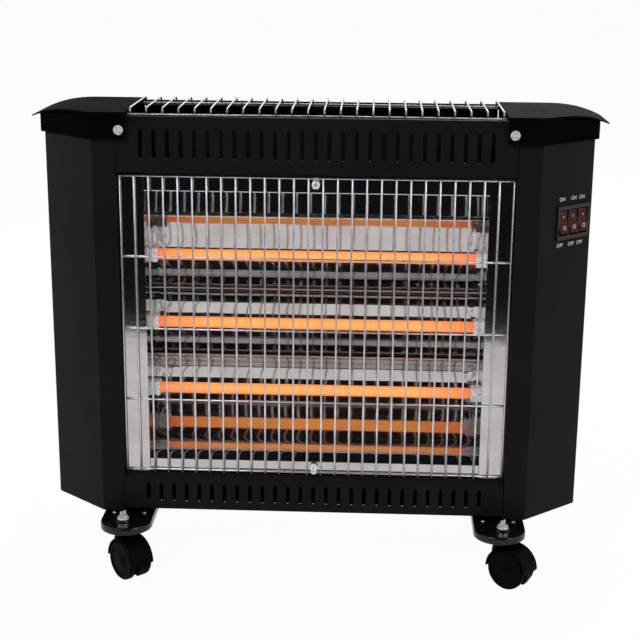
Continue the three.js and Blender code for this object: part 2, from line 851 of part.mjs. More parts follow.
function quartzTube() {
  const ring = turned(
    [
      [tubeBore / 2, -tubeHalf],
      [tubeOuter / 2, -tubeHalf],
      [tubeOuter / 2, tubeHalf],
      [tubeBore / 2, tubeHalf],
      [tubeBore / 2, -tubeHalf],
    ],
    12,
  );
  return ring.rotateY(Math.PI / 2);
}

function ceramicHolder() {
  const block = box(
    holderInner,
    holderInner + holderLength,
    -holderDepth / 2,
    holderDepth / 2,
    -holderHeight / 2,
    holderHeight / 2,
  );
  const seatDepth = tubeHalf + gap - holderInner;
  const seat = rod(tubeOuter / 2 + gap, 2 * seatDepth, 12, 'x').translate(holderInner, 0, 0);
  const leadHole = rod(coilWire / 2 + 2 * gap, 60, 6, 'x').translate(holderInner, 0, 0);
  return cut(block, seat, leadHole);
}

// Outer shape of the wound resistance wire, with its straight leads on the tube's axis
function heatingCoil() {
  const lead = coilWire / 2;
  const profile = [
    [0, -leadEnd],
    [lead, -leadEnd],
    [lead, -coilHalf - coilRadius],
    [coilRadius, -coilHalf],
    [coilRadius, coilHalf],
    [lead, coilHalf + coilRadius],
    [lead, leadEnd],
    [0, leadEnd],
  ];
  return turned(profile, 6).rotateY(Math.PI / 2);
}

// ---------- inner sheet ----------

function heatShield() {
  const path = points2([
    [shieldSetback - shieldFlange, panTop + gap],
    [shieldSetback, panTop + gap],
    [shieldSetback, trimTop],
    [shieldSetback - shieldFlange, trimTop],
  ]);
  const half = reflectorHalf - shieldInset;
  return alongX(sheetBand(path, reflectorSheet), -half, half);
}

// ---------- switches ----------

function switchBezel() {
  const c = bankCentreS;
  const [w, h] = [bankHalfWide, bankHalfHigh];
  const flange = box(c - w, c + w, -gap - bankFlange, -gap, -h, h);
  const [bw, bh] = [bankBodyHalfWide, bankBodyHalfHigh];
  const body = box(c - bw, c + bw, -gap - bankFlange / 2, bankDepth, -bh, bh);
  const half = rockerWidth / 2 + gap;
  const pockets = pocketCentres.map((s) => box(s - half, s + half, -6, pocketDepth, -pocketReach, pocketReach));
  return cut(join(flange, body), ...pockets);
}

// Rocker cap seen from its end: a shallow V in front and a keel behind, turning about the origin
function rockerCap() {
  const front = -rockerPivot - rockerFront;
  const outline = points2([
    [front, -rockerHalf],
    [front + rockerDish, 0],
    [front, rockerHalf],
    [rockerFront, rockerHalf - 0.6],
    [rockerKeel, rockerHalf / 3],
    [rockerKeel, -rockerHalf / 3],
    [rockerFront, -rockerHalf + 0.6],
  ]);
  return alongX(outline.reverse(), -rockerWidth / 2, rockerWidth / 2);
}

function switchBank() {
  const bank = new THREE.Group();
  bank.position.set(creaseX, 0, bankCentreZ);
  bank.rotation.z = chamferAngle;
  bank.add(piece('switch_bezel', switchBezel(), blackPlastic));
  pocketCentres.forEach((s, i) => {
    const rocker = piece(`rocker_${i + 1}`, rockerCap(), redPlastic);
    rocker.position.set(s, rockerPivot, 0);
    rocker.rotation.x = -rockerTilt;
    bank.add(rocker);
  });
  return bank;
}

// ---------- feet and casters ----------

// Round-ended outline of a foot, drawn in from its edge: x across, y = 0 on the body's edge, -y outwards
function footOutline(inset) {
  const w = footWidth / 2 - inset;
  const centre = footWidth / 2 - footReach;
  const shape = new THREE.Shape();
  shape.moveTo(w, footUnder - inset);
  shape.lineTo(-w, footUnder - inset);
  shape.lineTo(-w, centre);
  shape.absarc(0, centre, w, Math.PI, 2 * Math.PI, false);
  shape.lineTo(w, footUnder - inset);
  return shape;
}

function footSlab(inset, z0, z1) {
  const options = { depth: z1 - z0, bevelEnabled: false, curveSegments: 8 };
  return new THREE.ExtrudeGeometry(footOutline(inset), options).translate(0, 0, z0);
}

// Moulded foot: a web with a rim that hangs down, a boss for the swivel stem and a pad under the base pan
function footPlate(stemX) {
  const bottom = footTop - footThickness;
  const underWeb = footTop - footWeb;
  const shell = cut(footSlab(0, bottom, footTop), footSlab(footRim, bottom - 1, underWeb));
  const bossTop = underWeb + 1;
  const boss = rod(footBoss, bossTop - bottom, 12, 'z');
  boss.translate(stemX, -stemSetback, (bossTop + bottom) / 2);
  const w = footWidth / 2 - 9;
  const pad = box(-w, w, fasciaReturn + 4, footUnder - 4, footTop - 1, panBottom - gap);
  const bore = rod(stemDiameter / 2 + gap, 30, 10, 'z').translate(stemX, -stemSetback, footTop);
  return cut(join(shell, boss, pad), bore);
}

// Domed nut on the end of the swivel stem
function stemNut() {
  const r = nutAcross / 2;
  const hex = rod(r, nutHeight, 6, 'z').translate(0, 0, nutHeight / 2);
  const top = nutHeight + nutCrown;
  const dome = turned([[0, 3], [r - 1.4, 3], [r - 2, 6], [r - 4, top - 0.5], [0, top]], 8);
  const bore = rod(stemDiameter / 2 + gap, 12, 10, 'z').translate(0, 0, stemRise - 6);
  return cut(join(hex, dome), bore).translate(0, 0, footTop + gap);
}

// Caster frame: the swivel axis is x = y = 0, the axle lies along X at y = -trail
function casterHood() {
  const half = wheelOuter + 0.2;
  const arc = (radius, steps) =>
    Array.from({ length: steps + 1 }, (_, i) => {
      const a = (Math.PI * i) / steps;
      return [radius * Math.cos(a) - trail, wheelRadius + radius * Math.sin(a)];
    });
  const shell = alongX(points2([...arc(hoodOuter, 12), ...arc(hoodInner, 12).reverse()]), -half, half);
  const towerFoot = wheelRadius + 8;
  const tower = rod(collarRadius, collarTop - towerFoot, 12, 'z').translate(0, 0, (collarTop + towerFoot) / 2);
  const sunk = hoodInner + hoodThickness / 2;
  const wheelSpace = rod(sunk, 60, 16, 'x').translate(0, -trail, wheelRadius);
  const web = rod(sunk, 2 * (wheelInner - running), 16, 'x').translate(0, -trail, wheelRadius);
  const webTrim = box(-20, 20, -trail - 40, -trail + 40, -10, wheelRadius / 3);
  const stemFoot = collarTop - 4;
  const stem = rod(stemDiameter / 2, stemTop - stemFoot, 10, 'z').translate(0, 0, (stemTop + stemFoot) / 2);
  const bore = rod(axleDiameter / 2 + gap, 60, 8, 'x').translate(0, -trail, wheelRadius);
  return cut(join(shell, cut(tower, wheelSpace), cut(web, webTrim), stem), bore);
}

// Wheel on its axle's bore, with an eased tread and a dished outer face
function casterWheel() {
  const bore = axleDiameter / 2 + gap;
  const face = wheelCorner - 1.6;
  const profile = [
    [0, wheelOuter - axleCover],
    [bore, wheelOuter - axleCover],
    [bore, wheelInner],
    [wheelCorner - wheelEase, wheelInner],
    [wheelCorner, wheelInner + wheelEase],
    [wheelCorner, wheelOuter - 1.6],
    [face, wheelOuter],
    [face - wheelRim, wheelOuter],
    [0, wheelOuter - wheelDish],
  ];
  const shape = turned(profile, wheelSides).rotateZ(wheelFlat);
  return shape.rotateY(Math.PI / 2);
}

function caster(place, yaw) {
  const group = new THREE.Group();
  group.rotation.z = yaw;
  group.add(piece(`caster_hood_${place}`, casterHood(), blackPlastic));
  const axleLength = 2 * (wheelOuter - axleCover - gap);
  const axle = piece(`caster_axle_${place}`, rod(axleDiameter / 2, axleLength, 8, 'x'), greySteel);
  axle.position.set(0, -trail, wheelRadius);
  group.add(axle);
  [1, -1].forEach((side) => {
    const name = `caster_wheel_${place}_${side > 0 ? 'b' : 'a'}`;
    const shape = side > 0 ? casterWheel() : mirrored(casterWheel());
    const wheel = piece(name, shape, blackPlastic);
    wheel.position.set(0, -trail, wheelRadius);
    group.add(wheel);
  });
  return group;
}

// One foot with its caster; turned half round for the rear
function foot(place, side, rear, yaw) {
  const group = new THREE.Group();
  group.position.set(side * footX, rear * bodyDepth, 0);
  group.rotation.z = rear * Math.PI;
  const stemX = side * (rear ? -1 : 1) * stemOffset;
  const stem = new THREE.Group();
  stem.position.set(stemX, -stemSetback, 0);
  stem.add(piece(`stem_nut_${place}`, stemNut(), zincSteel), caster(place, yaw));
  group.add(piece(`foot_plate_${place}`, footPlate(stemX), blackPlastic), stem);
  return group;
}

// ---------- assembly ----------

const heater = new THREE.Group();
const body = new THREE.Group();
body.position.y = -bodyDepth / 2;
heater.add(body);

const housing = sideHousing();
body.add(piece('left_side_housing', mirrored(housing), blackPaint));
body.add(piece('right_side_housing', cut(housing, switchCutOut()), blackPaint));
body.add(piece('upper_fascia', upperFascia(), blackPaint));
body.add(piece('lower_fascia', lowerFascia(), blackPaint));
body.add(piece('base_pan', basePan(), blackPaint));
body.add(piece('back_panel', backPanel(), blackPaint));
body.add(piece('cable_gland', cableGland(), blackPlastic));
body.add(piece('terminal_block', terminalBlock(), ceramic));
body.add(piece('heat_shield', heatShield(), greySteel));

const cap = topCap();
body.add(piece('left_top_cap', mirrored(cap), blackPlastic));
body.add(piece('right_top_cap', cap, blackPlastic));
[['left', -1], ['right', 1]].forEach(([side, sign]) => {
  const screw = piece(`cap_screw_${side}`, capScrew(), zincSteel);
  screw.position.set(sign * capScrewX, -skirtProud - gap, capScrewZ);
  body.add(screw);
});

body.add(piece('front_guard', frontGuard(), brightWire));
body.add(piece('top_grille', topGrille(), brightWire));
[['top', clipTopZ, 1], ['bottom', clipBottomZ, -1]].forEach(([end, z, direction]) => {
  const clip = piece(`guard_clip_${end}`, guardClip(direction), zincSteel);
  clip.position.set(0, guardSetback + guardWire / 2 - weldSink - gap - clipStrap, z);
  body.add(clip);
});

body.add(piece('reflector', reflector(), mirrorSheet));
const trim = sideTrim();
body.add(piece('left_trim_plate', mirrored(trim), mirrorSheet));
body.add(piece('right_trim_plate', trim, mirrorSheet));

tubeZ.forEach((z, i) => {
  const element = new THREE.Group();
  element.position.set(0, tubeSetback, z);
  element.add(piece(`quartz_tube_${i + 1}`, quartzTube(), glowingQuartz));
  element.add(piece(`heating_coil_${i + 1}`, heatingCoil(), heaterWire));
  const holder = ceramicHolder();
  element.add(piece(`tube_holder_${i + 1}_left`, mirrored(holder), ceramic));
  element.add(piece(`tube_holder_${i + 1}_right`, holder, ceramic));
  body.add(element);
});

body.add(switchBank());

// How far each caster has swivelled round from trailing straight out
const casterTurns = { fl: 43, fr: 53, rl: 53, rr: 43 };
[
  ['fl', -1, 0],
  ['fr', 1, 0],
  ['rl', -1, 1],
  ['rr', 1, 1],
].forEach(([place, side, rear]) => {
  body.add(foot(place, side, rear, THREE.MathUtils.degToRad(casterTurns[place])));
});

export default heater;
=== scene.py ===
import math

import bpy
import numpy as np
from mathutils import Matrix, Vector, noise


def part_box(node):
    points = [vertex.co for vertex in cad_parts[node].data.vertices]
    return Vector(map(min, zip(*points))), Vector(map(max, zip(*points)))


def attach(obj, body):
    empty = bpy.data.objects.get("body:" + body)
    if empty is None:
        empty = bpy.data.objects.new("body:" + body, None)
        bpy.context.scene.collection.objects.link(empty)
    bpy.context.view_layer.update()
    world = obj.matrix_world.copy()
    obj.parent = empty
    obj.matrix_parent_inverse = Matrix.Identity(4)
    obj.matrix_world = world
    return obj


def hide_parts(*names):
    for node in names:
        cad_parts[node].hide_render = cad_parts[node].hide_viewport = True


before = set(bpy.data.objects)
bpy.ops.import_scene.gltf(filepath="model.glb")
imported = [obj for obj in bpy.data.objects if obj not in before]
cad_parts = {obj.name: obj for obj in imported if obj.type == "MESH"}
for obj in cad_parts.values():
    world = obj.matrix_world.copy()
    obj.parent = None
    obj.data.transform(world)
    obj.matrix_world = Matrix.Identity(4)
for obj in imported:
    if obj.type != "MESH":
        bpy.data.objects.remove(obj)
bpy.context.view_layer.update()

# Sizes are millimetres in the body's own frame: x = 0 in the middle, y = 0 on the flat front,
# z = 0 on the floor. place() turns them into the metres of the row frame.
MM = 0.001
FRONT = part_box("upper_fascia")[0].y
ROOT = "heater_body"


def size_of(node):
    """Lowest and highest corner of a CAD node in the body's frame, in millimetres."""
    low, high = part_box(node)
    shift = Vector((0, FRONT, 0))
    return (low - shift) / MM, (high - shift) / MM


# ---------- shapes: (vertices, faces) ----------


def moved(shape, matrix):
    verts, faces = shape
    return [matrix @ Vector(v) for v in verts], faces


def mirrored(shape):
    verts, faces = shape
    return [Vector((-v[0], v[1], v[2])) for v in verts], [tuple(reversed(f)) for f in faces]


def combined(*shapes):
    verts, faces = [], []
    for v, f in shapes:
        start = len(verts)
        verts += [Vector(p) for p in v]
        faces += [tuple(i + start for i in face) for face in f]
    return verts, faces


def skin(rings, closed=False):
    """Joins rings of equal length; the first and last are capped unless the skin closes on itself."""
    n = len(rings[0])
    verts = [Vector(p) for ring in rings for p in ring]
    faces = []
    count = len(rings)
    for i in range(count if closed else count - 1):
        a, b = i * n, ((i + 1) % count) * n
        faces += [(a + k, a + (k + 1) % n, b + (k + 1) % n, b + k) for k in range(n)]
    if not closed:
        faces.append(tuple(range(n - 1, -1, -1)))
        faces.append(tuple(range((count - 1) * n, count * n)))
    return verts, faces


def prism(outline, low, high, to_3d):
    """An outline raised from low to high; to_3d(a, b, h) gives the point."""
    return skin([[to_3d(a, b, h) for a, b in outline] for h in (low, high)])


def raised(outline, z0, z1):
    return prism(outline, z0, z1, lambda x, y, z: (x, y, z))


def along_x(outline, x0, x1):
    return prism(outline, x0, x1, lambda y, z, x: (x, y, z))


def block(x0, x1, y0, y1, z0, z1):
    return raised([(x0, y0), (x1, y0), (x1, y1), (x0, y1)], z0, z1)


def lathe(profile, segments=32):
    """Turns (radius, height) pairs round Z. The profile runs from the lower axis end to the upper one."""
    rings = []
    for r, h in profile:
        r = max(r, 0.001)
        turn = [2 * math.pi * k / segments for k in range(segments)]
        rings.append([(r * math.cos(a), r * math.sin(a), h) for a in turn])
    return skin(rings)


def ring_lathe(profile, segments=32):
    """Turns a closed (radius, height) outline round Z."""
    rings = []
    for k in range(segments):
        a = 2 * math.pi * k / segments
        rings.append([(r * math.cos(a), r * math.sin(a), h) for r, h in profile])
    return skin(rings, closed=True)


TO_X = Matrix.Rotation(math.pi / 2, 4, "Y")
TO_MINUS_Y = Matrix.Rotation(math.pi / 2, 4, "X")
TO_PLUS_Y = Matrix.Rotation(-math.pi / 2, 4, "X")


def wire(path, radius, sides=10):
    """Round wire along a list of points, with its ends slightly rounded off."""
    path = [Vector(p) for p in path]
    first = (path[1] - path[0]).normalized()
    last = (path[-1] - path[-2]).normalized()
    chamfer = radius * 0.35
    stations = [(path[0], radius * 0.7), (path[0] + first * chamfer, radius)]
    stations += [(p, radius) for p in path[1:-1]]
    stations += [(path[-1] - last * chamfer, radius), (path[-1], radius * 0.7)]
    side = first.orthogonal().normalized()
    rings = []
    for i, (p, r) in enumerate(stations):
        before = stations[max(i - 1, 0)][0]
        after = stations[min(i + 1, len(stations) - 1)][0]
        tangent = (after - before).normalized()
        side = (side - tangent * side.dot(tangent)).normalized()
        up = tangent.cross(side)
        turn = [2 * math.pi * k / sides for k in range(sides)]
        rings.append([p + (side * math.cos(a) + up * math.sin(a)) * r for a in turn])
    return skin(rings)


def rounded(path, radius, steps=6):
    """Open path of pairs with its inner corners rounded."""
    out = [Vector(path[0])]
    for before, corner, after in zip(path, path[1:], path[2:]):
        corner = Vector(corner)
        a = (Vector(before) - corner).normalized()
        b = (Vector(after) - corner).normalized()
        half = a.angle(b) / 2
        reach = radius / math.tan(half)
        start, end = corner + a * reach, corner + b * reach
        for k in range(steps + 1):
            t = k / steps
            out.append(start * (1 - t) ** 2 + corner * 2 * t * (1 - t) + end * t * t)
    out.append(Vector(path[-1]))
    return out


def rounded_loop(points, radius, steps=6):
    start = (Vector(points[0]) + Vector(points[-1])) / 2
    return rounded([start, *points, start], radius, steps)[:-1]


def sheet_band(path, thickness):
    """Outline of a sheet of that thickness on the left of an open path."""
    path = [Vector(p) for p in path]
    inner = []
    for i, p in enumerate(path):
        into = (p - path[i - 1]).normalized() if i else None
        out = (path[i + 1] - p).normalized() if i + 1 < len(path) else None
        a = Vector((-(into or out).y, (into or out).x))
        b = Vector((-(out or into).y, (out or into).x))
        inner.append(p + (a + b) / (1 + a.dot(b)) * thickness)
    return path + inner[::-1]


def offset_loop(points, distance):
    """Anticlockwise loop moved outwards."""
    points = [Vector(p) for p in points]
    out = []
    for i, p in enumerate(points):
        into = (p - points[i - 1]).normalized()
        away = (points[(i + 1) % len(points)] - p).normalized()
        a, b = Vector((into.y, -into.x)), Vector((away.y, -away.x))
        out.append(p + (a + b) / (1 + a.dot(b)) * distance)
    return out


# ---------- pieces ----------


def place(shape):
    """Millimetres in the body's frame to metres in the row frame."""
    verts, faces = shape
    return [Vector((v[0] * MM, v[1] * MM + FRONT, v[2] * MM)) for v in verts], faces


def new_object(name, shape, material):
    verts, faces = place(shape)
    mesh = bpy.data.meshes.new(name)
    mesh.from_pydata([tuple(v) for v in verts], [], faces)
    mesh.validate()
    mesh.materials.append(material)
    obj = bpy.data.objects.new(name, mesh)
    bpy.context.scene.collection.objects.link(obj)
    return obj


def bake_modifiers(obj):
    bpy.context.view_layer.update()
    depsgraph = bpy.context.evaluated_depsgraph_get()
    mesh = bpy.data.meshes.new_from_object(obj.evaluated_get(depsgraph))
    obj.modifiers.clear()
    obj.data = mesh


def subtract(obj, shape):
    """Cuts a shape out of a piece."""
    tool = new_object("cutter", shape, obj.data.materials[0])
    cut = obj.modifiers.new("cut", "BOOLEAN")
    cut.operation = "DIFFERENCE"
    cut.solver = "EXACT"
    cut.object = tool
    bake_modifiers(obj)
    bpy.data.objects.remove(tool)


def round_edges(obj, width, segments=2, angle=32):
    bevel = obj.modifiers.new("edges", "BEVEL")
    bevel.width = width * MM
    bevel.segments = segments
    bevel.limit_method = "ANGLE"
    bevel.angle_limit = math.radians(angle)
    bevel.harden_normals = True
    obj.data.shade_smooth()


def piece(name, shape, material, body=ROOT, nodes=(), edge=0.0, cuts=(), angle=32):
    """A finished piece: cut, with eased edges, riding on its body and standing for its CAD nodes."""
    obj = new_object(name, shape, material)
    for cut in cuts:
        subtract(obj, cut)
    if edge:
        round_edges(obj, edge, angle=angle)
    else:
        obj.data.shade_smooth()
        obj.data.set_sharp_from_angle(angle=math.radians(angle))
    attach(obj, body)
    if nodes:
        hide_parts(*nodes)
    return obj


def sheet_with_holes(outline, holes, thickness, edge, to_3d):
    """Flat sheet with eased edges; to_3d(a, b, h) places it, h running through the sheet."""
    curve = bpy.data.curves.new("sheet", "CURVE")
    curve.dimensions = "2D"
    curve.fill_mode = "BOTH"
    curve.extrude = thickness / 2 - edge
    curve.bevel_depth = edge
    curve.bevel_resolution = 1
    curve.offset = -edge
    for loop in [outline, *holes]:
        spline = curve.splines.new("POLY")
        spline.points.add(len(loop) - 1)
        for point, (a, b) in zip(spline.points, loop):
            point.co = (a, b, 0, 1)
        spline.use_cyclic_u = True
    obj = bpy.data.objects.new("sheet", curve)
    bpy.context.scene.collection.objects.link(obj)
    bpy.context.view_layer.update()
    mesh = bpy.data.meshes.new_from_object(obj.evaluated_get(bpy.context.evaluated_depsgraph_get()))
    verts = [Vector(to_3d(v.co.x, v.co.y, v.co.z)) for v in mesh.vertices]
    faces = [tuple(p.vertices) for p in mesh.polygons]
    bpy.data.objects.remove(obj)
    return verts, faces


def slot_outline(x, z, width, height, steps=8):
    """Upright slot with round ends."""
    r, straight = width / 2, height / 2 - width / 2
    turn = [math.pi * k / steps for k in range(steps + 1)]
    top = [(x + r * math.cos(a), z + straight + r * math.sin(a)) for a in turn]
    return top + [(x - r * math.cos(a), z - straight - r * math.sin(a)) for a in turn]


def rectangle(a0, a1, b0, b1):
    return [(a0, b0), (a1, b0), (a1, b1), (a0, b1)]


def spread(count, pitch):
    return [(i - (count - 1) / 2) * pitch for i in range(count)]


# ---------- materials ----------


def shader(name, color, roughness, metallic=0.0, specular=0.5, coat=0.0, coat_roughness=0.1):
    material = bpy.data.materials.new(name)
    material.use_nodes = True
    nodes = material.node_tree.nodes
    bsdf = nodes["Principled BSDF"]
    bsdf.inputs["Base Color"].default_value = (*color, 1)
    bsdf.inputs["Roughness"].default_value = roughness
    bsdf.inputs["Metallic"].default_value = metallic
    bsdf.inputs["Specular IOR Level"].default_value = specular
    bsdf.inputs["Coat Weight"].default_value = coat
    bsdf.inputs["Coat Roughness"].default_value = coat_roughness
    return material, bsdf


def link(material, start, end):
    material.node_tree.links.new(start, end)


def object_noise(material, scale, detail=2.0, stretch=(1, 1, 1), distortion=0.0):
    """Noise fixed to the piece; scale is in features per metre."""
    nodes = material.node_tree.nodes
    coords = nodes.new("ShaderNodeTexCoord")
    mapping = nodes.new("ShaderNodeMapping")
    mapping.inputs["Scale"].default_value = stretch
    texture = nodes.new("ShaderNodeTexNoise")
    texture.inputs["Scale"].default_value = scale
    texture.inputs["Detail"].default_value = detail
    texture.inputs["Distortion"].default_value = distortion
    link(material, coords.outputs["Object"], mapping.inputs["Vector"])
    link(material, mapping.outputs["Vector"], texture.inputs["Vector"])
    return texture.outputs["Fac"]


def ramp(material, source, low, high, start=0.3, end=0.7):
    """Maps a value through two colours, given as triples or single numbers."""
    node = material.node_tree.nodes.new("ShaderNodeValToRGB")
    for element, value, at in zip(node.color_ramp.elements, (low, high), (start, end)):
        element.position = at
        element.color = (*value, 1) if hasattr(value, "__len__") else (value, value, value, 1)
    link(material, source, node.inputs["Fac"])
    return node.outputs["Color"]


def add_bump(material, bsdf, source, strength, distance):
    bump = material.node_tree.nodes.new("ShaderNodeBump")
    bump.inputs["Strength"].default_value = strength
    bump.inputs["Distance"].default_value = distance
    previous = bsdf.inputs["Normal"].links
    if previous:
        link(material, previous[0].from_socket, bump.inputs["Normal"])
    link(material, source, bump.inputs["Height"])
    link(material, bump.outputs["Normal"], bsdf.inputs["Normal"])


def vary(material, bsdf, color_low, color_high, rough_low, rough_high, scale):
    """Cloudy variation of colour, and finer variation of roughness."""
    link(
        material, ramp(material, object_noise(material, scale), color_low, color_high),
        bsdf.inputs["Base Color"]
    )
    fine = ramp(material, object_noise(material, scale * 6, 4), rough_low, rough_high)
    link(material, fine, bsdf.inputs["Roughness"])


def powder_coat(name, low, high):
    material, bsdf = shader(name, low, 0.45, specular=0.05)
    vary(material, bsdf, low, high, 0.42, 0.52, 14)
    add_bump(material, bsdf, object_noise(material, 900, 2), 0.12, 0.0002)
    return material


def moulded(name, low, high, rough=(0.34, 0.44), specular=0.3, grain=2600):
    material, bsdf = shader(name, low, rough[0], specular=specular)
    vary(material, bsdf, low, high, *rough, 22)
    add_bump(material, bsdf, object_noise(material, grain, 2), 0.15, 0.00006)
    return material


def plated(name, low, high, rough, scale=60, stretch=(1, 1, 1)):
    material, bsdf = shader(name, low, rough[0], metallic=1.0)
    link(
        material,
        ramp(material, object_noise(material, scale, 3, stretch), low, high),
        bsdf.inputs["Base Color"],
    )
    link(
        material,
        ramp(material, object_noise(material, scale * 5, 3, stretch), *rough),
        bsdf.inputs["Roughness"],
    )
    return material


def bright_zinc():
    """Passivated zinc that looks pale even where it mirrors the dark room."""
    material, bsdf = shader("bright_zinc", (0.7, 0.71, 0.73), 0.3, metallic=0.45, specular=0.6)
    link(
        material, ramp(material, object_noise(material, 300, 3), (0.55, 0.56, 0.58), (0.85, 0.86, 0.88)),
        bsdf.inputs["Base Color"]
    )
    link(material, ramp(material, object_noise(material, 900, 3), 0.2, 0.4), bsdf.inputs["Roughness"])
    return material


def polished_sheet():
    """Bright rolled sheet: faint lengthwise grain, small dents and a few duller clouds."""
    material, bsdf = shader("polished_sheet", (0.5, 0.47, 0.46), 0.06, metallic=1.0)
    cloud = ramp(material, object_noise(material, 30, 3), (0.43, 0.4, 0.39), (0.53, 0.5, 0.49))
    link(material, cloud, bsdf.inputs["Base Color"])
    grain = object_noise(material, 1200, 2, (0.02, 1, 1))
    link(material, ramp(material, grain, 0.04, 0.12), bsdf.inputs["Roughness"])
    add_bump(material, bsdf, object_noise(material, 45, 2), 0.12, 0.0006)
    return material


def hot_quartz():
    """Milky quartz lit from inside: yellow-orange in the middle, redder near its ends. Its rim seen edge-on
    is tinted redder and darker by the Facing weight: painted shade.
    """
    material, bsdf = shader("hot_quartz", (0.3, 0.12, 0.06), 0.3, specular=0.3)
    nodes = material.node_tree.nodes
    coords = nodes.new("ShaderNodeTexCoord")
    split = nodes.new("ShaderNodeSeparateXYZ")
    link(material, coords.outputs["Object"], split.inputs["Vector"])
    distance = nodes.new("ShaderNodeMath")
    distance.operation = "ABSOLUTE"
    link(material, split.outputs["X"], distance.inputs[0])
    reach = nodes.new("ShaderNodeMapRange")
    reach.inputs["From Min"].default_value = 0.0
    reach.inputs["From Max"].default_value = TUBE_HALF * MM
    link(material, distance.outputs["Value"], reach.inputs["Value"])
    glow = nodes.new("ShaderNodeValToRGB")
    stops = [
        (0.0, TUBE_MIDDLE), (0.62, TUBE_MIDDLE), (0.88, TUBE_SHOULDER), (0.96, TUBE_END), (1.0, TUBE_COLD)
    ]
    ramp_elements = glow.color_ramp.elements
    while len(ramp_elements) < len(stops):
        ramp_elements.new(0.5)
    for element, (at, color) in zip(ramp_elements, stops):
        element.position = at
        element.color = (*color, 1)
    link(material, reach.outputs["Result"], glow.inputs["Fac"])
    # painted shade: the Facing weight tints the glow redder and darker where the tube turns away towards its
    # silhouette
    edge = nodes.new("ShaderNodeLayerWeight")
    edge.inputs["Blend"].default_value = 0.5
    rim_shaded = nodes.new("ShaderNodeMixRGB")
    rim_shaded.inputs["Color2"].default_value = (*TUBE_RIM_SHADE, 1)
    link(material, edge.outputs["Facing"], rim_shaded.inputs["Fac"])
    link(material, glow.outputs["Color"], rim_shaded.inputs["Color1"])
    link(material, rim_shaded.outputs["Color"], bsdf.inputs["Emission Color"])
    turns = object_noise(material, 260, 1, (1, 0.02, 0.02))
    link(material, ramp(material, turns, 0.9, 1.06), bsdf.inputs["Emission Strength"])
    return material


TUBE_HALF = 179
TUBE_MIDDLE = (1.0, 0.38, 0.085)
TUBE_SHOULDER = (0.9, 0.24, 0.055)
TUBE_END = (0.75, 0.14, 0.04)
TUBE_COLD = (0.3, 0.05, 0.02)
# painted shade colour for the tube's silhouette
TUBE_RIM_SHADE = (0.72, 0.13, 0.025)

BODY_PAINT = powder_coat("body_powder_coat", (0.0052, 0.0051, 0.0048), (0.0074, 0.0072, 0.0068))
CAP_PLASTIC = moulded("cap_plastic", (0.0014, 0.0014, 0.0013), (0.0022, 0.0022, 0.002), (0.5, 0.6), 0.003)
DARK_PLASTIC = moulded("switch_plastic", (0.006, 0.006, 0.006), (0.009, 0.009, 0.009))
CASTER_PLASTIC = moulded(
    "caster_plastic", (0.0014, 0.0014, 0.0013), (0.0024, 0.0024, 0.0022), (0.4, 0.5), 0.02
)
WHEEL_PLASTIC = moulded(
    "wheel_plastic", (0.0016, 0.0016, 0.0014), (0.0026, 0.0026, 0.0022), (0.42, 0.54), 0.02
)
FOOT_PLASTIC = moulded("foot_plastic", (0.002, 0.002, 0.0018), (0.0035, 0.0035, 0.003), (0.14, 0.24), 0.3)
WIRE = plated("bright_wire", (0.5, 0.51, 0.55), (0.66, 0.68, 0.73), (0.24, 0.4), 90)
GRILLE_WIRE = plated("grille_wire", (0.16, 0.16, 0.17), (0.3, 0.31, 0.33), (0.26, 0.42), 90)
ZINC = plated("zinc_plate", (0.58, 0.59, 0.6), (0.75, 0.76, 0.77), (0.16, 0.32), 200)
BRIGHT_ZINC = bright_zinc()
GALVANISED = plated("galvanised_sheet", (0.28, 0.29, 0.3), (0.42, 0.43, 0.44), (0.35, 0.55), 40)
MIRROR = polished_sheet()
QUARTZ = hot_quartz()


def speckled_ceramic():
    material, bsdf = shader("ceramic", (0.62, 0.58, 0.54), 0.6)
    speck = ramp(material, object_noise(material, 420, 4), (0.42, 0.4, 0.38), (0.84, 0.82, 0.8), 0.34, 0.52)
    link(material, speck, bsdf.inputs["Base Color"])
    add_bump(material, bsdf, object_noise(material, 900, 3), 0.4, 0.0002)
    return material


def red_rocker():
    material, bsdf = shader("rocker_red", (0.04, 0.003, 0.003), 0.3, specular=0.15)
    vary(material, bsdf, (0.028, 0.002, 0.002), (0.05, 0.0035, 0.003), 0.26, 0.36, 90)
    return material


def printed(name, color):
    material, bsdf = shader(name, color, 0.5, specular=0.3)
    worn = ramp(material, object_noise(material, 2200, 3), tuple(0.6 * c for c in color), color, 0.3, 0.5)
    link(material, worn, bsdf.inputs["Base Color"])
    return material


def hot_wire():
    material, bsdf = shader("hot_wire", (0.9, 0.45, 0.2), 0.5, metallic=0.5)
    bsdf.inputs["Emission Color"].default_value = (1.0, 0.42, 0.1, 1)
    heat = ramp(material, object_noise(material, 80, 2), 1.6, 2.4)
    link(material, heat, bsdf.inputs["Emission Strength"])
    return material


CERAMIC = speckled_ceramic()
ROCKER_RED = red_rocker()
PRINT = printed("printed_mark", (0.5, 0.5, 0.49))
HOT_WIRE = hot_wire()

# ---------- body ----------

SHEET = 1.0
GAP = 0.3
FASCIA_HALF = 211.0
CREASE_X = 236.1
SIDE_X = 297.4
CHAMFER_DEPTH = 53.8
DEPTH = 125.0
FASCIA_TOP = 508.0
WINDOW_TOP = 449.0
WINDOW_BOTTOM = 103.0
HOUSING_BOTTOM = 64.4
CHAMFER_ANGLE = math.atan2(CHAMFER_DEPTH, SIDE_X - CREASE_X)


def housing_outline():
    path = [
        (FASCIA_HALF + GAP, 13.4),
        (FASCIA_HALF + GAP, 0),
        (CREASE_X, 0),
        (SIDE_X, CHAMFER_DEPTH),
        (SIDE_X, DEPTH),
        (SIDE_X - 32, DEPTH),
    ]
    return sheet_band(rounded(path, 2.6, 6), SHEET)


def chamfer_frame(s, z):
    """Frame on the right slanted face: x along it from the front crease, y into the body."""
    turn = Matrix.Rotation(CHAMFER_ANGLE, 4, "Z")
    return Matrix.Translation((CREASE_X, 0, z)) @ turn @ Matrix.Translation((s, 0, 0))


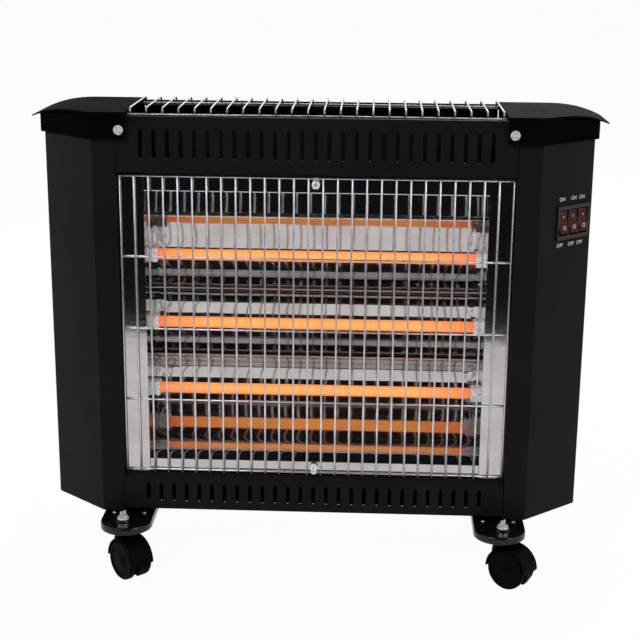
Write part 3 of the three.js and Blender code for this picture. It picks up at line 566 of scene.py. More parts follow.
BANK_S, BANK_Z, BANK_WIDE, BANK_HIGH = 51.5, 397.8, 49.5, 36.5
BANK_BODY_HALF = (22.95, 16.45)
POCKET_HALF = 14.07


def build_housings():
    top = size_of("left_side_housing")[1].z
    shape = raised(housing_outline(), HOUSING_BOTTOM, top)
    piece(
        "side_housing_left", mirrored(shape), BODY_PAINT, nodes=["left_side_housing"],
        edge=0.25
    )
    half_w, half_h = BANK_BODY_HALF[0] + GAP, BANK_BODY_HALF[1] + GAP
    opening = moved(block(-half_w, half_w, -8, 8, -half_h, half_h), chamfer_frame(BANK_S, BANK_Z))
    piece(
        "side_housing_right",
        shape,
        BODY_PAINT,
        nodes=["right_side_housing"],
        edge=0.25,
        cuts=[opening],
    )


def front_sheet(outline, holes):
    return sheet_with_holes(outline, holes, SHEET, 0.22, lambda a, b, h: (a, SHEET / 2 - h, b))


def build_fascias():
    half = FASCIA_HALF
    upper_slots = [slot_outline(x, 479.2, 4.2, 31) for x in spread(27, 14.2)]
    face = front_sheet(rectangle(-half, half, WINDOW_TOP, FASCIA_TOP), upper_slots)
    lower_return = along_x(
        sheet_band([(13.4, WINDOW_TOP + SHEET), (0.6, WINDOW_TOP + SHEET)], SHEET), -half, half
    )
    shelf = along_x(sheet_band([(11, FASCIA_TOP), (0.4, FASCIA_TOP)], SHEET), -half, half)
    piece(
        "upper_fascia_sheet",
        combined(face, lower_return, shelf),
        BODY_PAINT,
        nodes=["upper_fascia"],
    )
    # the pale beads at the slot ends are painted highlight
    piece("upper_slot_glints", slot_glints(upper_slots, 0.35), ZINC)
    lower_slots = [slot_outline(x, 87.8, 4.2, 20.5) for x in spread(27, 14.2)]
    face = front_sheet(rectangle(-half, half, 68, WINDOW_BOTTOM), lower_slots)
    lip_path = rounded(
        [(0.9, 99), (0.15, WINDOW_BOTTOM), (9, WINDOW_BOTTOM + 5.5), (14.4, WINDOW_BOTTOM + 5.5)], 1.2, 4
    )
    lip = along_x(sheet_band(lip_path[::-1], SHEET), -half, half)
    piece("lower_fascia_sheet", combined(face, lip), BODY_PAINT, nodes=["lower_fascia"])
    piece("lower_slot_glints", slot_glints(lower_slots, 0.35), ZINC)


def slot_glints(slots, height):
    """Pale metal beads at the lower end of each slot: painted highlight where light glints on the slot edge.
    """
    beads = []
    for loop in slots:
        x = sum(p[0] for p in loop) / len(loop)
        z = min(p[1] for p in loop)
        beads.append(block(x - 0.9, x + 0.9, 0.1, 0.9, z - 0.1, z + height))
    return combined(*beads)


def build_shade_screens():
    """Dark sheets inside the body, behind the front slots and before the rear vents: painted shade, so that
    what shows through the slots is dark.
    """
    front = block(-205, 205, 17.2, 18.0, 72, 101)
    rear = block(-190, 190, DEPTH - 9, DEPTH - 8.2, 414, 466)
    low = block(-190, 190, DEPTH - 9, DEPTH - 8.2, 92, 144)
    # painted shade: these sheets stand where the inside of the body shows only shade
    piece("inner_shade_screens", combined(front, rear, low), BODY_PAINT)


def build_back():
    low, high = size_of("back_panel")
    y0 = DEPTH + GAP
    neck, shoulder = 198.3, 481
    outline = [
        (-high.x, low.z),
        (high.x, low.z),
        (high.x, shoulder),
        (neck, shoulder),
        (neck, high.z),
        (-neck, high.z),
        (-neck, shoulder),
        (-high.x, shoulder),
    ]
    holes = [slot_outline(x, z, 5, 44) for z in (118, 440) for x in spread(13, 30)]
    gland_x, gland_z, gland_r = -236, 110, 7.6
    turn = [2 * math.pi * k / 24 for k in range(24)]
    holes.append([(gland_x + gland_r * math.cos(a), gland_z + gland_r * math.sin(a)) for a in turn])
    face = sheet_with_holes(outline, holes, SHEET, 0.22, lambda a, b, h: (a, y0 + SHEET / 2 - h, b))
    shelf = block(-neck, neck, y0 - 19, y0 + 0.4, FASCIA_TOP - SHEET, FASCIA_TOP)
    piece("back_sheet", combined(face, shelf), BODY_PAINT, nodes=["back_panel"])
    profile = [
        (3.8, -9), (7.2, -9), (7.2, 0), (9.4, 0), (10, 0.6), (9.8, 2.4), (9, 4.5), (6.6, 5.6), (5, 7),
        (3.8, 7)
    ]
    gland = moved(
        ring_lathe(profile, 40), Matrix.Translation((gland_x, y0 + SHEET + GAP, gland_z)) @ TO_PLUS_Y
    )
    piece("gland_form", gland, DARK_PLASTIC, nodes=["cable_gland"])
    for i, (x, z) in enumerate(
        [(-270, 90), (-270, 280), (-270, 468), (270, 90), (270, 280), (270, 468), (-100, 76), (100, 76)]
    ):
        screw_at(f"back_screw_{i + 1}", Matrix.Translation((x, y0 + SHEET, z)) @ TO_PLUS_Y, 3.4)


def screw_at(name, matrix, radius, nodes=(), body=ROOT, washer=False, material=None):
    """Pan-head screw with a cross recess, its head standing on the local Z = 0 plane."""
    r = radius
    steps = 6
    dome = [
        (
            r * math.cos(math.pi / 2 * k / steps) ** 0.6,
            r * 0.28 + r * 0.42 * math.sin(math.pi / 2 * k / steps)
        )
        for k in range(steps + 1)
    ]
    head = lathe([(0, 0), (r * 0.96, 0), (r, r * 0.08), *dome], 28)
    if washer:
        head = combined(head, lathe([(0, -0.1), (r * 1.22, -0.1), (r * 1.22, r * 0.14), (0, r * 0.14)], 28))
    arm, slot = r * 0.5, r * 0.13
    cross = [
        moved(block(-arm, arm, -slot, slot, r * 0.4, r * 2), matrix),
        moved(block(-slot, slot, -arm, arm, r * 0.4, r * 2), matrix)
    ]
    return piece(
        name, moved(head, matrix), material or ZINC, body=body, nodes=nodes, cuts=cross,
        angle=40
    )


# ---------- caps ----------

CAP_INNER = 199.3
SKIRT_PROUD = 4.2
SKIRT_BOTTOM = 484.0
LID_TIP = 312.8
LID_BEND = 252.0
LID_CROWN = 512.8
LID_DROP = 12.6


def lid_top(x):
    return LID_CROWN - LID_DROP * max(0.0, (x - LID_BEND) / (LID_TIP - LID_BEND)) ** 2.4


def lid_thickness(x):
    return 4.8 - 3.4 * (x - CAP_INNER) / (LID_TIP - CAP_INNER)


def cap_lid(outer):
    """Arched lid: a strip of cross-sections between the plan's front and rear edges."""
    front, rear = outer[0].y - 2.3, outer[4].y + 2.3
    plan = rounded(
        [
            (CAP_INNER, front), (outer[1].x + 2, front), (LID_TIP, CHAMFER_DEPTH + 4), (LID_TIP, rear),
            (CAP_INNER, rear)
        ],
        12,
        10,
    )
    corner = max(range(len(plan)), key=lambda i: (plan[i].x, -plan[i].y))
    ahead = [p for p in plan[: corner + 1]]
    behind = [p for p in plan[::-1] if p.x < LID_TIP + 1 and p.y > CHAMFER_DEPTH + 20]
    behind.sort(key=lambda p: p.x)
    stations = [CAP_INNER] + [
        CAP_INNER + (LID_TIP - CAP_INNER) * math.sin(math.pi / 2 * k / 34) for k in range(1, 34)
    ]
    stations.append(LID_TIP - 0.02)
    rings = []
    for x in stations:
        y0 = float(np.interp(x, [p.x for p in ahead], [p.y for p in ahead]))
        y1 = float(np.interp(x, [p.x for p in behind], [p.y for p in behind]))
        z1 = lid_top(x)
        z0 = z1 - lid_thickness(x)
        crown = [(x, y0 + (y1 - y0) * k / 6, z1) for k in range(7)]
        rings.append([(x, y0, z0), *crown, (x, y1, z0)])
    return skin([ring[::-1] for ring in rings])


def cap_skirt(outer):
    """Wall of the cap, its top edge following the lid from below."""
    inner = offset_loop(outer, -(SKIRT_PROUD - GAP))
    outer_path = rounded([*outer[:5]], 4, 5)
    inner_path = rounded([*inner[:5]], 2, 5)
    rings = []
    for a, b in zip(outer_path, inner_path):
        top_a = lid_top(min(a.x, LID_TIP)) - 1.2
        top_b = lid_top(min(b.x, LID_TIP)) - 1.2
        rings.append(
            [(a.x, a.y, SKIRT_BOTTOM), (a.x, a.y, top_a), (b.x, b.y, top_b), (b.x, b.y, SKIRT_BOTTOM)]
        )
    return skin([ring[::-1] for ring in rings])


def build_caps():
    plan = [
        (CAP_INNER + SKIRT_PROUD, 0),
        (CREASE_X, 0),
        (SIDE_X, CHAMFER_DEPTH),
        (SIDE_X, DEPTH + 1),
        (CAP_INNER + SKIRT_PROUD, DEPTH + 1),
    ]
    outer = offset_loop(plan, SKIRT_PROUD)
    skirt = cap_skirt(outer)
    lid = cap_lid(outer)
    for side, sign in (("left", -1), ("right", 1)):
        turn = mirrored if sign < 0 else (lambda s: s)
        piece(f"cap_lid_{side}", turn(lid), CAP_PLASTIC, nodes=[f"{side}_top_cap"], edge=0.7)
        piece(f"cap_skirt_{side}", turn(skirt), CAP_PLASTIC, edge=0.5)
        at = Matrix.Translation((sign * 206.5, -SKIRT_PROUD, 494)) @ TO_MINUS_Y
        screw_at(
            f"cap_screw_head_{side}", at, 4.2, nodes=[f"cap_screw_{side}"], washer=True,
            material=BRIGHT_ZINC
        )


# ---------- wire work ----------

WIRE_R = 1.0
GUARD_Y = 7.0
ROW_Y = 8.7
GUARD_BOTTOM, GUARD_TOP = 111.9, 444.0
GUARD_ROWS = [GUARD_BOTTOM, 194.2, 275.6, 355.9, GUARD_TOP]  # the cross wires are not evenly spaced


def weld(x, y, z):
    """Small flattened bead where two wires cross."""
    bead = lathe([(0, -0.75), (0.75, -0.5), (1.05, 0), (0.75, 0.5), (0, 0.75)], 8)
    return moved(bead, Matrix.Translation((x, y, z)) @ TO_MINUS_Y)


def build_guard():
    columns = spread(28, 15.5)
    half = columns[-1] + 1
    parts = [
        wire([(x, GUARD_Y, GUARD_BOTTOM - 2.6), (x, GUARD_Y, GUARD_TOP + 1)], WIRE_R, 12) for x in columns
    ]
    parts += [wire([(-half, ROW_Y, z), (half, ROW_Y, z)], WIRE_R, 12) for z in GUARD_ROWS]
    parts += [weld(x, (GUARD_Y + ROW_Y) / 2, z) for x in columns for z in GUARD_ROWS]
    piece("guard_wires", combined(*parts), WIRE, nodes=["front_guard"], angle=50)
    for end, z, lean in (("top", GUARD_TOP - 6.5, 1), ("bottom", GUARD_BOTTOM + 6.5, -1)):
        clip(end, z, lean)


def clip(end, z, lean):
    """Strap pressed over the guard's end wire, with its screw."""
    y = GUARD_Y - 0.6
    side = [(-3, -4.6), (3, -4.6), (3, 6.2), (1.8, 7.8), (-1.8, 7.8), (-3, 6.2)]
    strap = prism([(a, b * lean) for a, b in side][:: lean], 0, 1, lambda a, b, h: (a, y + 1 - h, z + b))
    piece(f"clip_strap_{end}", strap, BRIGHT_ZINC, nodes=[f"guard_clip_{end}"], edge=0.2)
    screw_at(f"clip_screw_{end}", Matrix.Translation((0, y, z)) @ TO_MINUS_Y, 4.4, material=BRIGHT_ZINC)


def build_grille():
    low, high = size_of("top_grille")
    rail_r = 1.25
    rail_z = FASCIA_TOP + GAP + rail_r
    y0, y1 = 4.0, 110.0
    parts = [wire([(low.x, y, rail_z), (high.x, y, rail_z)], rail_r, 12) for y in (y0, y1)]
    for x in spread(24, 16.94):
        path = rounded([(y0, rail_z), (y0, rail_z + 7), (y1, rail_z + 7), (y1, rail_z)], 4.5, 6)
        parts.append(wire([(x, p.x, p.y) for p in path], WIRE_R, 10))
    piece("grille_wires", combined(*parts), GRILLE_WIRE, nodes=["top_grille"], angle=50)


# ---------- reflector and heating elements ----------

TUBE_PITCH = 76.4
TUBE_Y = 30.0
TUBE_MIDDLE_Z = 278.3
TUBE_ZS = [TUBE_MIDDLE_Z + k * TUBE_PITCH for k in (1, 0, -1)]
TROUGH_R = TUBE_PITCH / 2
TROUGH_DEEP = TUBE_Y + TROUGH_R
TROUGH_OPEN = math.radians(77.5)
RIDGE_NOSE = [(33.0, 0.9), (32.2, 0.75), (31.8, 0.4), (31.7, 0)]
REFLECTOR_Y = 12.0
REFLECTOR_HALF = 183.7
REFLECTOR_SHEET = 0.5


def smoothed(points, rounds=2):
    """Open path with its corners cut twice over, its ends kept."""
    points = [Vector(p) for p in points]
    for _ in range(rounds):
        between = []
        for a, b in zip(points, points[1:]):
            between += [a * 0.75 + b * 0.25, a * 0.25 + b * 0.75]
        points = [points[0], *between, points[-1]]
    return [tuple(p) for p in points]


def trough(z, start, end, steps):
    """Round trough centred on a tube, from one angle to another; 0 points to the back."""
    turn = [start + (end - start) * k / steps for k in range(steps + 1)]
    return [(TUBE_Y + TROUGH_R * math.cos(a), z + TROUGH_R * math.sin(a)) for a in turn]


def ridge(z):
    """Rounded fold between two troughs."""
    return [(y, z + h) for y, h in RIDGE_NOSE] + [(y, z - h) for y, h in RIDGE_NOSE[-2::-1]]


def reflector_path():
    upper, middle, lower = TUBE_ZS
    path = [
        (REFLECTOR_Y, 448.6), (REFLECTOR_Y, 428.2), (REFLECTOR_Y + 0.5, 427.2), (REFLECTOR_Y + 1.5, 426.8),
        (35.9, 423.4)
    ]
    path += smoothed([(31.8, 401.5), (33.2, 400.4), (53, 394.5), (55, 392), (66, 363), (TROUGH_DEEP, upper)])
    path += trough(upper, -0.05, -TROUGH_OPEN, 22) + ridge(upper - TROUGH_R)
    path += trough(middle, TROUGH_OPEN, -TROUGH_OPEN, 44) + ridge(middle - TROUGH_R)
    path += trough(lower, TROUGH_OPEN, 0.05, 22)
    path += smoothed(
        [
            (TROUGH_DEEP, lower), (63, 192), (54.1, 163.9), (37.4, 148.5), (29, 139.1), (13.1, 129.9),
            (REFLECTOR_Y, 117.9)
        ]
    )
    path.append((REFLECTOR_Y, 108.8))
    return path


def build_reflector():
    """Polished sheet, a little wavy along its length and crinkled where its ends were cut."""
    band = sheet_band(reflector_path(), REFLECTOR_SHEET)
    crinkled = 19.0
    fine = [REFLECTOR_HALF - crinkled * k / 16 for k in range(16)]
    inner = REFLECTOR_HALF - crinkled
    stations = [-x for x in fine] + [inner * (2 * k / 70 - 1) for k in range(71)] + fine[::-1]
    rings = []
    for x in stations:
        rough = max(0.0, (abs(x) - inner) / crinkled)
        ring = []
        for p in band:
            wave = noise.noise(Vector((x / 55, p.y / 38, 3.1))) * 0.2
            wave += rough * noise.noise(Vector((x / 6, p.y / 7, 9.7))) * 0.9
            inside = 1 if TUBE_Y < p.x else 0
            ring.append((x, p.x + wave * inside, p.y))
        rings.append(ring)
    piece("reflector_sheet", skin(rings), MIRROR, nodes=["reflector"], angle=24)


def build_trims():
    inner, outer, z0, z1 = REFLECTOR_HALF + GAP, FASCIA_HALF, 109.5, 446.0
    corner_r = 9
    turn = [math.pi / 2 * k / 8 for k in range(9)]
    corner = [
        (outer - corner_r + corner_r * math.sin(a), z0 + corner_r - corner_r * math.cos(a)) for a in turn
    ]
    face_outline = [(inner, z0), *corner, (outer, z1), (inner, z1)]
    face = sheet_with_holes(face_outline, [], 0.8, 0.15, lambda a, b, h: (a, 10.4 - h, b))
    holes = [rectangle(22.2, 37.8, z - 8.3, z + 8.3) for z in TUBE_ZS]
    wall = sheet_with_holes(
        rectangle(10.6, 69, z0, z1), holes, 0.8, 0.15, lambda a, b, h: (inner + 0.4 + h, a, b)
    )
    shape = combined(face, wall)
    piece("trim_left", mirrored(shape), MIRROR, nodes=["left_trim_plate"])
    piece("trim_right", shape, MIRROR, nodes=["right_trim_plate"])


def coil_path():
    """Wound wire with straight leads; the winding opens out of the axis at each end."""
    half, radius, turns, lead_end = 166.0, 3.4, 83, 192.0
    steps = turns * 12
    points = [(-lead_end, 0, 0), (-half - 6, 0, 0)]
    for k in range(steps + 1):
        t = k / steps
        a = 2 * math.pi * turns * t
        grow = min(1.0, 12 * t, 12 * (1 - t)) * radius
        points.append((-half + 2 * half * t, grow * math.cos(a), grow * math.sin(a)))
    return points + [(half + 6, 0, 0), (lead_end, 0, 0)]


def build_elements():
    tube_profile = [
        (4.8, -TUBE_HALF), (5.7, -TUBE_HALF), (6, -TUBE_HALF + 0.4), (6, TUBE_HALF - 0.4), (5.7, TUBE_HALF),
        (4.8, TUBE_HALF)
    ]
    coil = wire(coil_path(), 0.45, 5)
    for i, z in enumerate(TUBE_ZS):
        n = i + 1
        at = Matrix.Translation((0, TUBE_Y, z))
        piece(
            f"lit_tube_{n}", moved(ring_lathe(tube_profile, 32), at @ TO_X), QUARTZ,
            nodes=[f"quartz_tube_{n}"]
        )
        piece(
            f"coil_wire_{n}", moved(coil, at), HOT_WIRE, nodes=[f"heating_coil_{n}"],
            angle=60
        )
        for side in ("left", "right"):
            holder(n, side, at)


def holder(n, side, at):
    """Ceramic end block with a stepped nose and a groove round it."""
    outline = rounded_loop([(-7.5, -8), (7.5, -8), (7.5, 8), (-7.5, 8)], 1.6, 3)
    sections = [
        (173, 0.5), (173.6, 0), (178.5, 0), (179, 0.9), (180.4, 0.9), (180.9, 0), (189.5, 0), (190, 0.5)
    ]
    rings = []
    for x, inset in sections:
        rings.append([(x, p.x * (1 - inset / 7.5), p.y * (1 - inset / 8)) for p in outline])
    shape = moved(skin(rings), at)
    seat = moved(
        lathe([(0, -20), (6.3, -20), (6.3, 6.3), (0, 6.3)], 32), at @ Matrix.Translation((173, 0, 0)) @ TO_X
    )
    cuts = [seat]
    if side == "left":
        shape, cuts = mirrored(shape), [mirrored(seat)]
    piece(
        f"holder_{n}_{side}", shape, CERAMIC, nodes=[f"tube_holder_{n}_{side}"], cuts=cuts,
        edge=0.25
    )


# ---------- switches ----------

ROCKER_PITCH = 15.4
ROCKER_WIDE = 13.3
ROCKER_HALF = 12.4
PIVOT = 2.0


def build_switches():
    flange_outline = rounded_loop(
        rectangle(-BANK_WIDE / 2, BANK_WIDE / 2, -BANK_HIGH / 2, BANK_HIGH / 2), 1.5, 4
    )
    centres = [k * ROCKER_PITCH for k in (-1, 0, 1)]
    flange = prism(flange_outline, -2.2, -0.3, lambda a, b, h: (a, h, b))
    body_w, body_h = BANK_BODY_HALF
    housing = block(-body_w, body_w, -0.6, 17, -body_h, body_h)
    at = chamfer_frame(BANK_S, BANK_Z)
    half = ROCKER_WIDE / 2 + GAP
    pockets = [moved(block(s - half, s + half, -6, 14, -POCKET_HALF, POCKET_HALF), at) for s in centres]
    bezel = new_object("bezel_join", moved(housing, at), DARK_PLASTIC)
    shape = moved(([(v[0], v[1], v[2]) for v in flange[0]], [f[::-1] for f in flange[1]]), at)
    obj = piece("switch_frame", shape, DARK_PLASTIC, nodes=["switch_bezel"])
    join = obj.modifiers.new("join", "BOOLEAN")
    join.operation = "UNION"
    join.solver = "EXACT"
    join.object = bezel
    bake_modifiers(obj)
    bpy.data.objects.remove(bezel)
    for pocket in pockets:
        subtract(obj, pocket)
    round_edges(obj, 0.35)
    for i, s in enumerate(centres):
        rocker(i + 1, s)
    for i, s in enumerate((34.2, 52.1, 65.2)):
        label(f"mark_on_{i + 1}", "ON", s, 423)
    for i, s in enumerate((33.8, 51.4, 65.0)):
        label(f"mark_off_{i + 1}", "OFF", s, 373)


def rocker(n, s):
    """Rocker cap: two shallow hollows that meet at a low ridge, its upper half pressed in at rest."""
    frame_at = chamfer_frame(BANK_S + s, BANK_Z)
    at = frame_at @ Matrix.Translation((0, PIVOT, 0)) @ Matrix.Rotation(math.radians(-10), 4, "X")
    steps = 16
    face = []
    for k in range(steps + 1):
        z = ROCKER_HALF * (2 * k / steps - 1)
        t = abs(z) / ROCKER_HALF
        face.append((-3.4 - 1.6 * t**1.5, z))
    keel = [(3, ROCKER_HALF - 0.6), (9, 4), (9, -4), (3, -ROCKER_HALF + 0.6)]
    outline = (face + keel)[::-1]
    w = ROCKER_WIDE / 2
    shape = prism(outline, -w, w, lambda y, z, x: (x, y, z))
    body = f"rocker_{n}"
    piece(
        f"rocker_cap_{n}", moved(shape, at), ROCKER_RED, body=body, nodes=[f"rocker_{n}"],
        edge=0.45
    )
    line = moved(block(-0.45, 0.45, -4.45, -4.2, 4.2, 8.6), at @ Matrix.Rotation(math.radians(-3), 4, "X"))
    ring = ring_lathe([(1.45, 0), (2.15, 0), (2.15, 0.3), (1.45, 0.3)], 28)
    ring = moved(
        ring,
        at @ Matrix.Translation((0, -4.22, -6.2)) @ Matrix.Rotation(math.radians(6), 4, "X") @ TO_MINUS_Y
    )
    piece(f"rocker_marks_{n}", combined(line, ring), PRINT, body=body)


def label(name, text, s, z):
    """Small printed word on the slanted face."""
    curve = bpy.data.curves.new(name, "FONT")
    curve.body = text
    curve.size = 5.6
    curve.align_x = "CENTER"
    curve.align_y = "CENTER"
    curve.extrude = 0.03
    curve.offset = 0.06
    font_object = bpy.data.objects.new(name, curve)
    bpy.context.scene.collection.objects.link(font_object)
    bpy.context.view_layer.update()
    mesh = bpy.data.meshes.new_from_object(font_object.evaluated_get(bpy.context.evaluated_depsgraph_get()))
    verts = [Vector((v.co.x, -0.04 - v.co.z, v.co.y)) for v in mesh.vertices]
    faces = [tuple(p.vertices) for p in mesh.polygons]
    bpy.data.objects.remove(font_object)
    piece(name + "_print", moved((verts, faces), chamfer_frame(s, z)), PRINT)


# ---------- feet and casters ----------

FOOT_X = FASCIA_HALF - 4.5
FOOT_WIDE = 57.0
FOOT_REACH = 51.5
FOOT_UNDER = 38.0
FOOT_TOP = HOUSING_BOTTOM - GAP
FOOT_BOTTOM = FOOT_TOP - 8
FOOT_WEB = 3.0
STEM_SETBACK = 23.3
STEM_OFFSET = 3.7
COLLAR_TOP = FOOT_BOTTOM - 0.7
TRAIL = 12.8
WHEEL_R = 22.0
WHEEL_INNER = 4.2
WHEEL_OUTER = 14.0
HOOD_INNER, HOOD_OUTER = 23.3, 25.0
YAWS = {"fl": 43, "fr": 53, "rl": 53, "rr": 43}
PLACES = {"fl": (-1, 0), "fr": (1, 0), "rl": (-1, 1), "rr": (1, 1)}


def foot_outline(inset):
    w = FOOT_WIDE / 2 - inset
    turn = [math.pi + math.pi * k / 40 for k in range(41)]
    arc = [(w * math.cos(a), -FOOT_REACH + FOOT_WIDE / 2 + w * math.sin(a)) for a in turn]
    return [(w, FOOT_UNDER - inset), (-w, FOOT_UNDER - inset), *arc]


def foot_plate(place, at, stem_at):
    """Round-ended plate, open underneath, with a raised lip round a shallow well and a boss for the stem."""
    rim = 2.6
    levels = [
        (rim, FOOT_TOP - FOOT_WEB),
        (rim, FOOT_BOTTOM + 0.3),
        (rim - 0.3, FOOT_BOTTOM),
        (0.5, FOOT_BOTTOM),
        (0, FOOT_BOTTOM + 0.5),
        (0, FOOT_TOP - 2.2),
        (0.2, FOOT_TOP - 1.2),
        (0.7, FOOT_TOP - 0.45),
        (1.6, FOOT_TOP - 0.05),
        (2.6, FOOT_TOP),
        (4.4, FOOT_TOP - 0.1),
        (5.4, FOOT_TOP - 0.5),
        (6.4, FOOT_TOP - 1.1),
        (7.6, FOOT_TOP - 1.3),
    ]
    rings = [[(x, y, z) for x, y in foot_outline(inset)] for inset, z in levels]
    body = moved(skin([ring[::-1] for ring in rings]), at)
    boss = lathe(
        [
            (0, FOOT_BOTTOM), (10, FOOT_BOTTOM), (10.5, FOOT_BOTTOM + 0.5), (10.5, FOOT_TOP - 2),
            (0, FOOT_TOP - 2)
        ],
        36
    )
    seat = lathe(
        [
            (0, FOOT_TOP - 2), (8.6, FOOT_TOP - 1.6), (8, FOOT_TOP - 0.2), (7, FOOT_TOP + 0.1),
            (0, FOOT_TOP + 0.1)
        ],
        36
    )
    pad = block(-19.5, 19.5, 17.4, 34, FOOT_TOP - 1, FOOT_TOP + 2.8)
    shape = combined(body, moved(boss, stem_at), moved(seat, stem_at), moved(pad, at))
    piece(f"foot_form_{place}", shape, FOOT_PLASTIC, nodes=[f"foot_plate_{place}"], angle=28)
    nut_z = FOOT_TOP + GAP
    flange = lathe([(0, 0), (6.2, 0), (6.6, 0.4), (6.5, 1.1), (5.6, 1.5), (5.6, 3.2), (0, 3.2)], 36)
    head_at = stem_at @ Matrix.Translation((0, 0, nut_z))
    head = [
        (5.2 * math.cos(math.pi / 2 * k / 8) ** 0.8, 3.4 + 4.2 * math.sin(math.pi / 2 * k / 8))
        for k in range(9)
    ]
    cap = lathe([(0, 2.4), (5.2, 2.4), *head], 32)
    arm, half = 3.4, 0.8
    turned_at = head_at @ Matrix.Rotation(math.radians(45), 4, "Z")
    cross = [
        moved(block(-arm, arm, -half, half, 4.6, 9), turned_at),
        moved(block(-half, half, -arm, arm, 4.6, 9), turned_at),
    ]
    piece(
        f"nut_form_{place}",
        moved(combined(flange, cap), head_at),
        BRIGHT_ZINC,
        nodes=[f"stem_nut_{place}"],
        cuts=cross,
        angle=40,
    )
    for k, x in enumerate((-17, 17)):
        screw_at(f"foot_screw_{place}_{k + 1}", at @ Matrix.Translation((x, -3.2, FOOT_TOP - 1.3)), 2.2)


def arc_points(radius, start, end, steps):
    turn = [start + (end - start) * k / steps for k in range(steps + 1)]
    return [(radius * math.cos(a) - TRAIL, WHEEL_R + radius * math.sin(a)) for a in turn]


def hood_shape():
    """Hood over both wheels with a neck up to the swivel collar."""
    half = WHEEL_OUTER + 0.2
    sections = [(-half, 0.9), (-half + 0.9, 0), (half - 0.9, 0), (half, 0.9)]
    rings = []
    for x, inset in sections:
        outer = arc_points(HOOD_OUTER - inset, 0, math.pi, 40)
        inner = arc_points(HOOD_INNER + inset * 0.3, math.pi, 0, 40)
        rings.append([(x, y, z) for y, z in outer + inner])
    shell = skin(rings)
    web = along_x(
        arc_points(HOOD_INNER + 0.4, -0.68, math.pi + 0.68, 36), 0.7 - WHEEL_INNER, WHEEL_INNER - 0.7
    )
    low, high = 33.0, COLLAR_TOP
    tower = lathe(
        [(0, low), (11.5, low), (10.8, low + 8), (9.5, low + 13), (9.5, high - 0.8), (8.8, high), (0, high)],
        40
    )
    stem = lathe([(0, high - 2), (3.9, high - 2), (3.9, FOOT_TOP + 2.5), (0, FOOT_TOP + 2.5)], 20)
    return shell, web, tower, stem


def wheel_shape():
    """One wheel: tread with a sloped inner edge, and a dished face with a rim, its outer face at +Z."""
    r, z0, z1 = WHEEL_R, WHEEL_INNER, WHEEL_OUTER
    profile = [
        (0, z0),
        (r - 3.2, z0),
        (r - 2.4, z0 + 0.3),
        (r - 0.5, z0 + 2.3),
        (r, z0 + 3.4),
        (r, z1 - 2.4),
        (r - 0.3, z1 - 1.2),
        (r - 1.1, z1 - 0.35),
        (r - 2.2, z1),
        (r - 3.8, z1),
        (r - 4.5, z1 - 0.25),
        (r - 5.2, z1 - 0.9),
        (12, z1 - 0.8),
        (7.6, z1 - 0.75),
        (7.0, z1 - 0.4),
        (0, z1 - 0.3),
    ]
    return lathe(profile, 64)


def build_feet():
    for place, (side, rear) in PLACES.items():
        at = Matrix.Translation((side * FOOT_X, rear * DEPTH, 0)) @ Matrix.Rotation(rear * math.pi, 4, "Z")
        stem_x = side * (-1 if rear else 1) * STEM_OFFSET
        stem_at = at @ Matrix.Translation((stem_x, -STEM_SETBACK, 0))
        foot_plate(place, at, stem_at)
        caster(place, stem_at @ Matrix.Rotation(math.radians(YAWS[place]), 4, "Z"))


def caster(place, at):
    shell, web, tower, stem = hood_shape()
    swivel = f"swivel_{place}"
    hood_node = [f"caster_hood_{place}"]
    piece(
        f"hood_shell_{place}", moved(shell, at), CASTER_PLASTIC, body=swivel,
        nodes=hood_node
    )
    tunnel = Matrix.Translation((0, -TRAIL, WHEEL_R)) @ TO_X
    room = moved(lathe([(0, -40), (HOOD_INNER + 0.8, -40), (HOOD_INNER + 0.8, 40), (0, 40)], 48), at @ tunnel)
    piece(f"hood_neck_{place}", moved(tower, at), CASTER_PLASTIC, body=swivel, cuts=[room])
    piece(f"hood_web_{place}", moved(web, at), CASTER_PLASTIC, body=swivel)
    piece(f"swivel_stem_{place}", moved(stem, at), GALVANISED, body=swivel)
    for wheel, sign in (("a", -1), ("b", 1)):
        turn = Matrix.Translation((0, -TRAIL, WHEEL_R)) @ Matrix.Rotation(sign * math.pi / 2, 4, "Y")
        piece(
            f"wheel_form_{place}_{wheel}",
            moved(wheel_shape(), at @ turn),
            WHEEL_PLASTIC,
            body=f"wheel_{place}_{wheel}",
            nodes=[f"caster_wheel_{place}_{wheel}"],
        )


# ---------- carried-over CAD nodes ----------


def dress(node, material):
    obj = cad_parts[node]
    obj.data.materials.clear()
    obj.data.materials.append(material)


def dress_inner_nodes():
    dress("base_pan", BODY_PAINT)
    dress("heat_shield", GALVANISED)
    dress("terminal_block", CERAMIC)
    for place in PLACES:
        dress(f"caster_axle_{place}", GALVANISED)


# ---------- stage, lights and camera ----------


def staged(name, verts, material, glossy_only=False):
    mesh = bpy.data.meshes.new(name)
    mesh.from_pydata(verts, [], [tuple(range(len(verts)))])
    mesh.materials.append(material)
    obj = bpy.data.objects.new(name, mesh)
    bpy.context.scene.collection.objects.link(obj)
    if glossy_only:
        obj.visible_camera = False
        obj.visible_diffuse = False
        obj.visible_shadow = False
        obj.visible_transmission = False
    return obj


